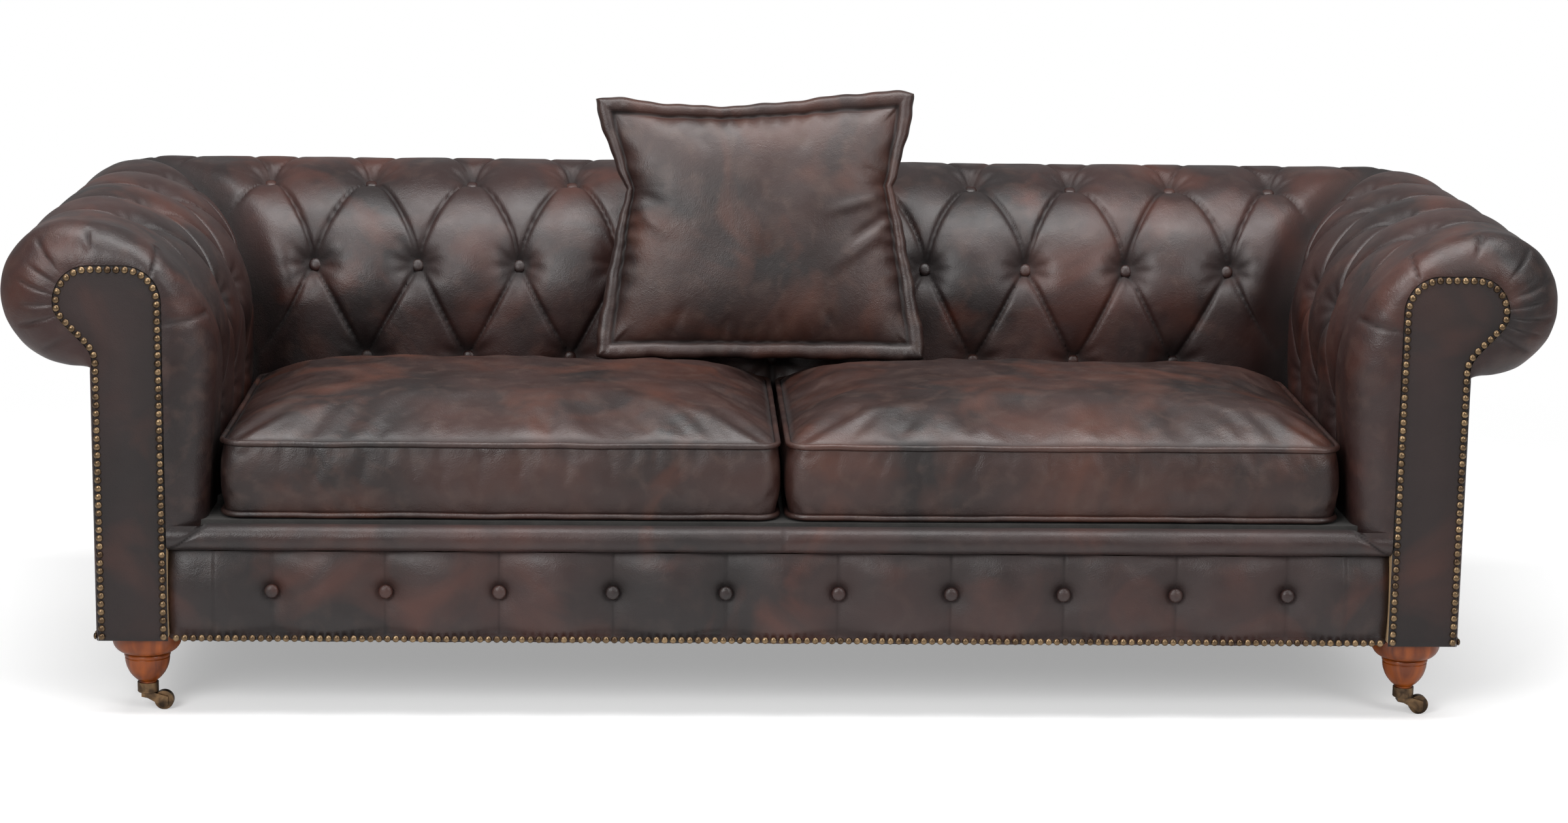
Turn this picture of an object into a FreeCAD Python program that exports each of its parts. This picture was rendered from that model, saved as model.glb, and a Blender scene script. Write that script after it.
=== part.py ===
# Buttoned leather sofa with rolled arms, two loose seat cushions and a throw pillow.
# Millimetres, +Z up, +X to the right as seen from the front, front at -Y.
# The origin lies on the floor under the middle of the sofa's outer box.
import FreeCAD, Part
import functools
import math
import os
import re
import Sketcher

Vector = FreeCAD.Vector
Rotation = FreeCAD.Rotation
Placement = FreeCAD.Placement

doc = FreeCAD.newDocument("ButtonedSofa")
sheet = doc.addObject("Spreadsheet::Sheet", "Dims")
reckoner = doc.addObject("Spreadsheet::Sheet", "Reckoner")

SIZES = [
    ("overall_width", "2400", "over the two arm rolls"),
    ("overall_depth", "950", "from the front nails to the back roll"),
    ("crest_height", "774", "top of the arm and back rolls above the floor"),
    ("roll_radius", "112", "outer radius of the leather roll"),
    ("roll_overhang", "28", "roll centre outside the flat outer face"),
    ("shoulder_radius", "215", "roll's inner side, from the crest down to the inner face"),
    ("arm_thickness", "170", "arm and back at seat level"),
    ("frame_bottom", "125", "underside of the upholstered base"),
    ("border_seam", "267", "seam under the padded front border"),
    ("border_top", "308", "top of the padded front border"),
    ("deck_top", "312.5", "top of the seat deck"),
    ("foot_height", "313", "where the inside covers tuck in"),
    ("leather", "2.5", "hide with its lining"),
    ("padding", "52", "thickness of the buttoned padding"),
    ("nail_rise", "4", "height of a nail's dome"),
    ("nail_radius", "5.6", "radius of a nail's dome"),
    ("nail_pitch", "13", "distance from nail to nail"),
    ("panel_backing", "3.5", "card behind the outside panels"),
    ("cover_gap", "0.5", "between covers that meet at a seam"),
    ("filling_gap", "0.3", "between a cover and its filling"),
    ("timber", "28", "thickness of the rails"),
    ("rail_bottom", "130", "underside of the rails"),
    ("rail_top", "262", "top of the rails"),
    ("cross_rail_top", "240", "top of the stretchers under the springs"),
    ("cross_rail_place", "330", "stretcher from the middle"),
    ("rail_front", "-440", "front face of the front rail"),
    ("scroll_inner", "955", "inner nail column of the arm facing"),
    ("scroll_outer", "1050", "outer nail column of the arm facing"),
    ("head_outer", "1107", "outermost nail of the scroll head"),
    ("head_top", "706", "topmost nail of the scroll head"),
    ("head_bottom", "606", "lowest nail of the scroll head"),
    ("head_radius", "50", "corner radius of the scroll head"),
    ("facing_edge", "6", "facing beyond its nail line"),
    ("facing_thickness", "6", "leather covered facing"),
    ("roll_rounding", "22", "rounding of the roll's front edge"),
    ("cushion_clearance", "11", "cushion cover to the sofa's middle, with the piping"),
    ("cushion_side_gap", "25", "cushion cover to the foot of the arm, with the piping"),
    ("cushion_bottom", "314", "underside of the seat cushions"),
    ("cushion_edge", "436", "top edge of the cushion's border"),
    ("cushion_crown", "40", "rise of the cushion's crown"),
    ("cushion_front", "-431", "front of the cushion's border"),
    ("cushion_back", "141", "back of the cushion's border"),
    ("cushion_corner", "22", "corner radius of the cushion"),
    ("piping_radius", "4.4", "radius of the piping"),
    ("piping_inset", "5", "piping centre from the cushion's edge"),
    ("pillow_width", "545", "over the flange"),
    ("pillow_height", "450", "over the flange"),
    ("pillow_thickness", "104", "at the middle"),
    ("flange_width", "24", "rolled edge of the pillow"),
    ("flange_thickness", "16", "rolled edge of the pillow"),
    ("pillow_rounding", "46", "rounding of the pillow's body"),
    ("pillow_across", "-31", "pillow's middle from the sofa's middle"),
    ("pillow_depth", "109", "pillow's middle from the sofa's middle, towards the back"),
    ("pillow_centre", "695.5", "pillow's middle above the floor"),
    ("pillow_lean", "13", "degrees from upright"),
    ("button_radius", "11", "covered button"),
    ("button_rise", "7", "height of a covered button"),
    ("button_pitch", "173", "distance between the buttons of a back row"),
    ("middle_row_count", "10", "buttons of the back's middle row, one less below and one more above"),
    ("arm_row_count", "4", "buttons of an arm's top row, one less in each row below it"),
    ("rail_button_count", "10", "buttons across the front of the base"),
    ("rail_button_pitch", "175.5", "distance between the buttons of the front rail"),
    ("leg_inset", "70", "leg axis from the outer faces of the base"),
    ("leg_bottom", "31", "lower end of the turned wood"),
    ("leg_top_radius", "53.5", "top of the leg"),
    ("leg_shoulder_radius", "37", "lower edge of the leg's shoulder"),
    ("leg_waist_radius", "34", "grooves on both sides of the turned ring"),
    ("leg_bowl_radius", "35", "widest part of the bowl below the ring"),
    ("leg_tip_radius", "13.5", "lower end of the leg"),
    ("leg_tip_top", "46", "foot of the bowl above the floor"),
    ("leg_bowl_top", "84.5", "top of the bowl above the floor"),
    ("leg_ring_bottom", "86", "turned ring above the floor"),
    ("leg_ring_top", "93", "turned ring above the floor"),
    ("leg_shoulder_top", "117", "top of the shoulder's curve above the floor"),
    ("leg_bowl_curve", "48", "radius of the bowl's outline"),
    ("leg_ring_curve", "4", "radius of the ring's outline"),
    ("leg_shoulder_curve", "22", "radius of the shoulder's outline"),
    ("bolt_radius", "4", "hanger bolt"),
    ("bolt_bore", "4.1", "bore for the hanger bolt"),
    ("bolt_length", "50", "hanger bolt into the leg, and as far up into the block"),
    ("cup_radius", "16.5", "caster cup"),
    ("cup_top", "44", "rim of the caster cup"),
    ("cup_floor", "28", "underside of the caster cup"),
    ("pin_radius", "4", "swivel pin under the cup"),
    ("pin_bore", "4.06", "bore of the horn round the swivel pin"),
    ("horn_plate", "21", "underside of the horn's top plate"),
    ("horn_half", "9.5", "half width of the horn's top plate"),
    ("horn_trail", "25", "wheel axle behind the swivel axis"),
    ("horn_cheek", "6.5", "half height of the horn's cheeks at the axle"),
    ("horn_rise", "2", "rise of the horn's underside towards the swivel"),
    ("horn_gap", "0.4", "between the horn and the cup, and between the wheel and the cheeks"),
    ("wheel_radius", "15", "caster wheel"),
    ("wheel_width", "12", "caster wheel"),
    ("axle_radius", "2.5", "wheel axle"),
    ("wheel_bore", "2.55", "bore of the wheel"),
    ("spring_wire", "1.8", "radius of the spring wire"),
    ("spring_height", "266", "middle of the spring wire"),
    ("spring_bend", "15", "radius of the spring's bends"),
    ("spring_straight", "24", "straight run between two bends"),
    ("spring_spacing", "220", "distance between neighbouring springs"),
    ("spring_count", "8", "springs across the seat"),
    ("clip_play", "0.2", "clip's groove round the wire"),
    ("clip_width", "22", "spring clip along the rail"),
    ("clip_depth", "18", "spring clip across the rail"),
    ("clip_height", "8", "spring clip"),
    ("deck_bottom", "271", "underside of the seat deck"),
    ("block_side", "110", "corner block along the rails"),
    ("block_height", "90", "corner block"),
    ("post_width", "60", "arm and back posts"),
    ("arm_post_front", "-330", "front side of the front arm post"),
    ("arm_post_rear", "90", "front side of the rear arm post"),
    ("back_post_inner", "220", "inner back post from the middle"),
    ("back_post_outer", "660", "outer back post from the middle"),
    ("top_rail_inside", "54", "top rail inward of the roll's centre"),
    ("top_rail_outside", "40", "top rail outward of the roll's centre"),
    ("top_rail_half", "17", "half the top rail's height"),
    ("rail_cover_front", "-468", "front of the padded base cover"),
    ("border_front", "-470", "front of the padded border"),
    ("border_rounding", "16", "rounding of the border's front"),
    ("dust_cover_thickness", "1.5", "cloth under the frame"),
    ("dust_cover_inset", "15", "edge of the cloth inside the base"),
    ("leg_notch", "56", "leg axis to the edge of the cloth's notch"),
    ("tuft_radius", "13", "pocket round a front button"),
    ("tuft_depth", "9", "pocket round a front button"),
    ("rail_button_height", "203", "front buttons above the floor"),
    ("lower_row", "475", "lower row of buttons above the floor"),
    ("middle_row_turn", "17", "degrees up the shoulder to the middle row of buttons"),
    ("top_row_turn", "69", "degrees up the shoulder to the top row of buttons"),
    ("arm_row_start", "-280", "frontmost button of the arm's upper and lower rows"),
    ("arm_button_pitch", "157", "distance between the buttons of an arm row"),
    ("base_nail_height", "131", "nail row above the floor"),
    ("roll_x", "=overall_width / 2 - roll_radius", "arm roll centre from the middle"),
    ("roll_z", "=crest_height - roll_radius", "roll centre above the floor"),
    ("roll_y", "=overall_depth / 2 - roll_radius", "back roll centre"),
    ("arm_outer", "=roll_x - roll_overhang", "flat outer face of the arm"),
    ("arm_inner", "=arm_outer - arm_thickness", "inner face of the arm at the deck"),
    ("back_outer", "=roll_y - roll_overhang", "flat outer face of the back"),
    ("back_inner", "=back_outer - arm_thickness", "inner face of the back at the deck"),
    ("front_plane", "=-overall_depth / 2", "tips of the front nails"),
    ("facing_front", "=front_plane + nail_rise", "front of the arm facings"),
    ("board_front", "=facing_front + facing_thickness", "front of the scroll boards"),
    ("shoulder_z", "=crest_height - shoulder_radius", "shoulder's centre above the floor"),
    ("lean_run", "=roll_x - arm_inner", "foot of the inner face to the shoulder's centre, across"),
    ("lean_rise", "=shoulder_z - foot_height", "foot of the inner face to the shoulder's centre, up"),
    ("lean_square", "=lean_run * lean_run + lean_rise * lean_rise", "squared distance of the two"),
    ("lean_tangent", "=sqrt(lean_square - shoulder_radius * shoulder_radius)", "length of the inner face"),
    ("lean_sine", "=(lean_rise * lean_tangent + lean_run * shoulder_radius) / lean_square", "of its slope"),
    ("lean_cosine", "=(lean_run * lean_tangent - lean_rise * shoulder_radius) / lean_square", "of its slope"),
    ("padding_inside", "=leather + padding", "from the leather's face to the hollow"),
    ("post_outer", "=arm_outer - leather - panel_backing", "outer side of the arm posts"),
    ("post_inner", "=post_outer - timber", "inner side of the arm posts"),
    ("side_rail_inner", "=post_inner - timber", "inner side of the side rails"),
    ("back_rail_outer", "=back_outer - leather", "outer side of the back rail"),
    ("back_rail_inner", "=back_rail_outer - timber", "inner side of the back rail"),
    ("rail_back", "=rail_front + timber", "rear face of the front rail"),
    ("cushion_inner", "=cushion_clearance", "cushion side near the middle"),
    ("cushion_outer", "=arm_inner - cushion_side_gap", "cushion side near the arm"),
    ("cushion_half", "=(cushion_outer - cushion_inner) / 2", "half the cushion's width"),
    ("cushion_middle", "=(cushion_outer + cushion_inner) / 2", "middle of the cushion"),
    ("leg_x", "=arm_outer - leg_inset", "leg axis from the middle"),
    ("leg_front", "=-(overall_depth / 2 - leg_inset)", "front leg axis"),
    ("leg_back", "=back_outer - leg_inset", "rear leg axis"),
    ("top_rail_bottom", "=roll_z - top_rail_half", "underside of the top rails"),
    ("top_rail_top", "=roll_z + top_rail_half", "upper side of the top rails"),
    ("cushion_arch", "=cushion_half * cushion_half / cushion_crown / 2 + cushion_crown / 2", "crown's radius"),
]

NAMES = re.compile(r"\b(?!sqrt\b)[a-z]\w*")
SIDES = (("left", -1), ("right", 1))


def fill_sheet():
    for row, (name, content, meaning) in enumerate(SIZES, start=1):
        sheet.set(f"A{row}", name)
        sheet.set(f"B{row}", content)
        sheet.set(f"C{row}", meaning)
        sheet.setAlias(f"B{row}", name)
    doc.recompute()


@functools.cache
def number(expression):
    """The value of an expression of named sizes, reckoned on a sheet of its own."""
    reckoner.set("A1", f"={bound(expression)}")
    reckoner.recompute()
    return float(reckoner.get("A1"))


def bound(expression):
    """The same expression, as another object of the document writes it."""
    return NAMES.sub(r"Dims.\g<0>", expression)


def box(label, low, high):
    """A squared piece between two corners, each three expressions."""
    piece = doc.addObject("Part::Box", label)
    for side, axis, start, end in zip(("Length", "Width", "Height"), "xyz", low, high):
        piece.setExpression(side, bound(f"({end}) - ({start})"))
        piece.setExpression(f"Placement.Base.{axis}", bound(start))
    return piece


def new_body(label):
    body = doc.addObject("PartDesign::Body", label)
    body.AllowCompound = True
    return body


def sketch_on(body, plane, name, offset="0"):
    """A sketch on one of the body's own planes, moved along the plane's normal."""
    sketch = body.newObject("Sketcher::SketchObject", name)
    support = [item for item in body.Origin.OriginFeatures if item.Role == plane][0]
    sketch.AttachmentSupport = (support, [""])
    sketch.MapMode = "FlatFace"
    sketch.setExpression("AttachmentOffset.Base.z", bound(offset))
    return sketch


def arc_centre(start, end, radius, turn, large):
    """Centre of an arc from its ends; turn is 1 counter-clockwise and -1 clockwise."""
    chord = end - start
    height = math.sqrt(max(radius * radius - chord.Length * chord.Length / 4, 0))
    left = Vector(-chord.y, chord.x, 0).normalize()
    side = -turn if large else turn
    return (start + end) * 0.5 + left * height * side


def outline(sketch, corners, mirror=1):
    """A closed outline. Each corner is (across, up) and runs straight to the next one,
    or (across, up, radius, turn, large) and runs to the next one in an arc."""
    points = [Vector(mirror * number(c[0]), number(c[1]), 0) for c in corners]
    first_edge = sketch.GeometryCount
    ends = []
    for index, corner in enumerate(corners):
        start = points[index]
        end = points[(index + 1) % len(corners)]
        if len(corner) == 2:
            sketch.addGeometry(Part.LineSegment(start, end), False)
            ends.append((1, 2))
            continue
        radius = number(corner[2])
        turn = corner[3] * mirror
        centre = arc_centre(start, end, radius, turn, corner[4])
        opening = start if turn > 0 else end
        closing = end if turn > 0 else start
        angle_from = math.atan2(opening.y - centre.y, opening.x - centre.x)
        angle_to = math.atan2(closing.y - centre.y, closing.x - centre.x)
        if angle_to < angle_from:
            angle_to += 2 * math.pi
        circle = Part.Circle(centre, Vector(0, 0, 1), radius)
        sketch.addGeometry(Part.ArcOfCircle(circle, angle_from, angle_to), False)
        ends.append((1, 2) if turn > 0 else (2, 1))
    for index, corner in enumerate(corners):
        following = (index + 1) % len(corners)
        edge = first_edge + index
        sketch.addConstraint(Sketcher.Constraint(
            "Coincident", edge, ends[index][1], first_edge + following, ends[following][0]))
        for kind, value, expression in (
                ("DistanceX", points[index].x, f"{mirror} * ({corner[0]})"),
                ("DistanceY", points[index].y, corner[1])):
            place = sketch.addConstraint(Sketcher.Constraint(kind, -1, 1, edge, ends[index][0], value))
            sketch.setExpression(f"Constraints[{place}]", bound(expression))
        if len(corner) > 2:
            place = sketch.addConstraint(Sketcher.Constraint("Radius", edge, number(corner[2])))
            sketch.setExpression(f"Constraints[{place}]", bound(corner[2]))


def circle_in(sketch, across, up, radius):
    centre = Vector(number(across), number(up), 0)
    edge = sketch.addGeometry(Part.Circle(centre, Vector(0, 0, 1), number(radius)), False)
    for kind, value, expression in (("DistanceX", centre.x, across), ("DistanceY", centre.y, up)):
        place = sketch.addConstraint(Sketcher.Constraint(kind, -1, 1, edge, 3, value))
        sketch.setExpression(f"Constraints[{place}]", bound(expression))
    place = sketch.addConstraint(Sketcher.Constraint("Radius", edge, number(radius)))
    sketch.setExpression(f"Constraints[{place}]", bound(radius))


def pad(body, sketch, length, backwards=False, name="Pad"):
    """Material from the sketch's plane along its normal, or against it."""
    feature = body.newObject("PartDesign::Pad", name)
    feature.Profile = sketch
    feature.setExpression("Length", bound(length))
    feature.Reversed = backwards
    return feature


def pocket(body, sketch, length, backwards=False, name="Pocket"):
    """A cut from the sketch's plane against its normal, or along it. It must remove material."""
    doc.recompute()
    before = body.Shape.Volume
    feature = body.newObject("PartDesign::Pocket", name)
    feature.Profile = sketch
    feature.setExpression("Length", bound(length))
    feature.Reversed = backwards
    doc.recompute()
    if body.Shape.Volume > before - 1:
        raise RuntimeError(f"{body.Label}: {name} cuts nothing")
    return feature


def revolve(body, sketch):
    """A full turn about the body's own Z axis."""
    feature = body.newObject("PartDesign::Revolution", "Turned")
    feature.Profile = sketch
    feature.ReferenceAxis = (sketch, ["V_Axis"])
    feature.Angle = 360
    return feature


def feature_of(label, shape):
    """A piece made of many copies, which no single feature makes."""
    piece = doc.addObject("Part::Feature", label)
    piece.Shape = shape
    piece.Placement = Placement()
    return piece


def copies(shape, placements):
    """Separate copies of one solid, each carried to its place."""
    result = []
    for place in placements:
        copy = shape.copy()
        copy.Placement = place.multiply(copy.Placement)
        result.append(copy)
    return Part.makeCompound(result)


def wrap_corners(centre, foot, face, outside, inside):
    """Section of a layer that runs from the deck up the inner face, over the shoulder and
    round the roll. The layer lies between two distances from the leather's outer face."""
    far, far_shoulder = f"(roll_radius - ({outside}))", f"(shoulder_radius - ({outside}))"
    near, near_shoulder = f"(roll_radius - ({inside}))", f"(shoulder_radius - ({inside}))"
    return [
        (f"{foot} + ({outside}) / lean_sine", "foot_height"),
        (f"{centre} - {far_shoulder} * lean_sine", f"shoulder_z + {far_shoulder} * lean_cosine",
         far_shoulder, -1, False),
        (centre, f"roll_z + {far}", far, -1, True),
        (face, f"roll_z - sqrt({far} * {far} - roll_overhang * roll_overhang)"),
        (face, f"roll_z - sqrt({near} * {near} - roll_overhang * roll_overhang)", near, 1, True),
        (centre, f"roll_z + {near}", near_shoulder, 1, False),
        (f"{centre} - {near_shoulder} * lean_sine", f"shoulder_z + {near_shoulder} * lean_cosine"),
        (f"{foot} + ({inside}) / lean_sine", "foot_height"),
    ]


def mitre_cut(body, side, keeps_arm, name):
    """Cuts a body along the 45 degree joint between an arm and the back, seen from above."""
    reach = "(overall_depth / 2)"
    beyond = (f"roll_x - {reach}", f"roll_y + {reach}")
    before = (f"roll_x + {reach}", f"roll_y - {reach}")
    sketch = sketch_on(body, "XY_Plane", f"Mitre_{name}")
    outline(sketch, [
        (f"roll_x - {reach}", f"roll_y - {reach}"),
        (f"roll_x + {reach}", f"roll_y + {reach}"),
        beyond if keeps_arm else before,
    ], side)
    pocket(body, sketch, "crest_height", backwards=True, name=f"MitreCut_{name}")


def arm_layer(label, side, outside, inside):
    """One layer of an arm, from the scroll board to the mitre at the back."""
    body = new_body(label)
    section = sketch_on(body, "XZ_Plane", "Section", "-rail_front")
    outline(section, wrap_corners("roll_x", "arm_inner", "arm_outer", outside, inside), side)
    pad(body, section, "overall_depth / 2 - rail_front", backwards=True)
    mitre_cut(body, side, True, "back")
    return body


def back_layer(label, outside, inside):
    """One layer of the back, between the mitres of the two arms."""
    body = new_body(label)
    section = sketch_on(body, "YZ_Plane", "Section", "-overall_width / 2")
    outline(section, wrap_corners("roll_y", "back_inner", "back_outer", outside, inside))
    pad(body, section, "overall_width")
    for name, side in SIDES:
        mitre_cut(body, side, False, name)
    return body


def depth_edges(feature, wanted):
    """Names of the feature's edges that run front to back where a test holds."""
    doc.recompute()
    names = []
    for place, edge in enumerate(feature.Shape.Edges, start=1):
        first, last = edge.Vertexes[0].Point, edge.Vertexes[-1].Point
        if abs(first.y - last.y) > 1 and wanted(first) and wanted(last):
            names.append(f"Edge{place}")
    return names


def scroll_prism(label, side, edge, front, back, bottom):
    """Board of the arm's scroll outline, standing a distance outside the nail line."""
    body = new_body(label)
    shape = sketch_on(body, "XZ_Plane", "Scroll", f"-({back})")
    outline(shape, [
        (f"scroll_inner - {edge}", bottom),
        (f"scroll_inner - {edge}", f"head_top + {edge}"),
        (f"head_outer + {edge}", f"head_top + {edge}"),
        (f"head_outer + {edge}", f"head_bottom - {edge}"),
        (f"scroll_outer + {edge}", f"head_bottom - {edge}"),
        (f"scroll_outer + {edge}", bottom),
    ], side)
    blank = pad(body, shape, f"({back}) - ({front})")
    top = number("head_top")
    overhang = number("scroll_outer + head_radius")

    def on_head(point):
        return point.z > top or abs(point.x) > overhang

    rounding = body.newObject("PartDesign::Fillet", "HeadCorners")
    rounding.Base = (blank, depth_edges(blank, on_head))
    rounding.setExpression("Radius", bound("head_radius"))
    return body


def arm_front_pad(name, side):
    """Stuffed end of the arm roll, with a rounded front edge, open where the scroll board stands."""
    whole = new_body(f"{name}_roll_end")
    section = sketch_on(whole, "XZ_Plane", "Section", "-rail_front")
    face = "(scroll_outer + facing_edge)"
    outline(section, [
        ("arm_inner", "foot_height"),
        ("roll_x - shoulder_radius * lean_sine", "shoulder_z + shoulder_radius * lean_cosine",
         "shoulder_radius", -1, False),
        ("roll_x", "crest_height", "roll_radius", -1, True),
        (face, f"roll_z - sqrt(roll_radius * roll_radius - (roll_x - {face}) * (roll_x - {face}))"),
        (face, "foot_height"),
    ], side)
    blank = pad(whole, section, "rail_front - board_front")
    front = number("board_front")
    foot = number("foot_height + 1")
    flat = number("scroll_outer + facing_edge + 1")
    doc.recompute()
    names = []
    for place, edge in enumerate(blank.Shape.Edges, start=1):
        points = [vertex.Point for vertex in edge.Vertexes]
        at_front = all(abs(point.y - front) < 0.1 for point in points)
        rises = max(point.z for point in points) > foot
        outside = any(abs(abs(point.x) - flat + 1) < 0.1 for point in points)
        straight = edge.Curve.TypeId == "Part::GeomLine"
        if at_front and rises and not (outside and straight):
            names.append(f"Edge{place}")
    rounding = whole.newObject("PartDesign::Fillet", "FrontRounding")
    rounding.Base = (blank, names)
    rounding.setExpression("Radius", bound("roll_rounding"))
    tool = scroll_prism(f"{name}_scroll_space", side, "(facing_edge + cover_gap)",
                        "(facing_front - 1)", "(rail_front + 1)", "frame_bottom")
    piece = doc.addObject("Part::Cut", f"{name}_arm_front_pad")
    piece.Base = whole
    piece.Tool = tool
    return piece


def rails():
    """Rails, stretchers and corner blocks of the seat frame."""
    box("front_rail", ("-post_outer", "rail_front", "rail_bottom"),
        ("post_outer", "rail_back", "rail_top"))
    box("back_rail", ("-post_outer", "back_rail_inner", "rail_bottom"),
        ("post_outer", "back_rail_outer", "rail_top"))
    for name, side in SIDES:
        spans = {1: ("side_rail_inner", "post_inner"), -1: ("-post_inner", "-side_rail_inner")}
        low, high = spans[side]
        box(f"{name}_side_rail", (low, "rail_back", "rail_bottom"), (high, "back_rail_inner", "rail_top"))
    stretcher = box("stretcher", ("cross_rail_place - timber / 2", "rail_back", "rail_bottom"),
                    ("cross_rail_place + timber / 2", "back_rail_inner", "cross_rail_top"))
    gather("cross_rails", [stretcher, mirrored(stretcher)])


def mirrored(piece):
    """The same piece on the other side of the sofa."""
    twin = doc.addObject("Part::Mirroring", f"{piece.Label}_twin")
    twin.Source = piece
    twin.Normal = (1, 0, 0)
    return twin


def gather(label, pieces):
    """Like pieces that share one node, each a solid of its own."""
    group = doc.addObject("Part::Compound", label)
    group.Links = pieces
    return group


def corner_blocks():
    """Glued blocks in the frame's corners, bored for the leg bolts."""
    blocks = []
    for name, rail, inward, leg in (("front", "rail_back", 1, "leg_front"),
                                    ("rear", "back_rail_inner", -1, "leg_back")):
        body = new_body(f"{name}_block")
        shape = sketch_on(body, "XY_Plane", "Triangle", "frame_bottom")
        corners = [
            ("side_rail_inner", rail),
            ("side_rail_inner", f"{rail} + {inward} * block_side"),
            ("side_rail_inner - block_side", rail),
        ]
        outline(shape, corners)
        pad(body, shape, "block_height")
        bore = sketch_on(body, "XY_Plane", "Bore", "frame_bottom")
        circle_in(bore, "leg_x", leg, "bolt_bore")
        pocket(body, bore, "block_height", backwards=True)
        blocks += [body, mirrored(body)]
    gather("corner_blocks", blocks)


def arm_and_back_timbers():
    """Posts and top rails that carry the rolls."""
    posts = []
    for name, place in (("front", "arm_post_front"), ("rear", "arm_post_rear")):
        post = box(f"{name}_arm_post", ("post_inner", place, "rail_bottom"),
                   ("post_outer", f"{place} + post_width", "top_rail_bottom"))
        posts += [post, mirrored(post)]
    gather("arm_posts", posts)
    arm_rail = box("arm_rail", ("roll_x - top_rail_inside", "rail_front", "top_rail_bottom"),
                   ("roll_x + top_rail_outside", "roll_y - top_rail_inside", "top_rail_top"))
    gather("arm_top_rails", [arm_rail, mirrored(arm_rail)])
    box("back_top_rail", ("-(roll_x + top_rail_outside)", "roll_y - top_rail_inside", "top_rail_bottom"),
        ("roll_x + top_rail_outside", "roll_y + top_rail_outside", "top_rail_top"))
    uprights = []
    for place in ("back_post_inner", "back_post_outer"):
        upright = box(f"upright_{place}",
                      (f"{place} - post_width / 2", "back_rail_outer - timber", "rail_top"),
                      (f"{place} + post_width / 2", "back_rail_outer", "top_rail_bottom"))
        uprights += [upright, mirrored(upright)]
    gather("back_posts", uprights)


def seat_springs():
    """Zigzag springs from the front rail to the back rail, and the clips that hold them."""
    bend = number("spring_bend")
    half = number("spring_straight") / 2
    height = number("spring_height")
    start = number("rail_front + clip_depth")
    reach = number("back_rail_inner + clip_depth / 2") - start
    runs = int(reach // (2 * bend))
    edges = []
    for run in range(runs + 1):
        place = start + run * 2 * bend
        side = 1 if run % 2 == 0 else -1
        left = Vector(-half * side, place, height)
        right = Vector(half * side, place, height)
        edges.append(Part.makeLine(left, right))
        if run < runs:
            outer = Vector((half + bend) * side, place + bend, height)
            after = Vector(half * side, place + 2 * bend, height)
            edges.append(Part.Arc(right, outer, after).toShape())
    wire = Part.Wire(edges)
    first = Vector(-half, start, height)
    section = Part.Wire(Part.makeCircle(number("spring_wire"), first, Vector(1, 0, 0)))
    spring = wire.makePipeShell([section], True, True)
    spacing = number("spring_spacing")
    places = [Placement(Vector(across, 0, 0), Rotation())
              for across in row_of(int(number("spring_count")), spacing)]
    feature_of("seat_springs", copies(spring, places))

    width = number("clip_width")
    depth = number("clip_depth")
    base = number("rail_top")
    last = start + runs * 2 * bend
    channel = number("spring_wire + clip_play")
    clip = Part.makeBox(width, depth, number("clip_height"), Vector(-width / 2, -depth / 2, base))
    groove = Part.makeBox(width, depth / 2 + 2 * channel, 2 * channel,
                          Vector(-width / 2, -2 * channel, height - channel))
    clip = clip.cut(groove)
    clip_places = []
    for place in places:
        front = Placement(place.Base + Vector(0, start, 0), Rotation())
        rear = Placement(place.Base + Vector(0, last, 0), Rotation(Vector(0, 0, 1), 180))
        clip_places += [front, rear]
    feature_of("spring_clips", copies(clip, clip_places))


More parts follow.
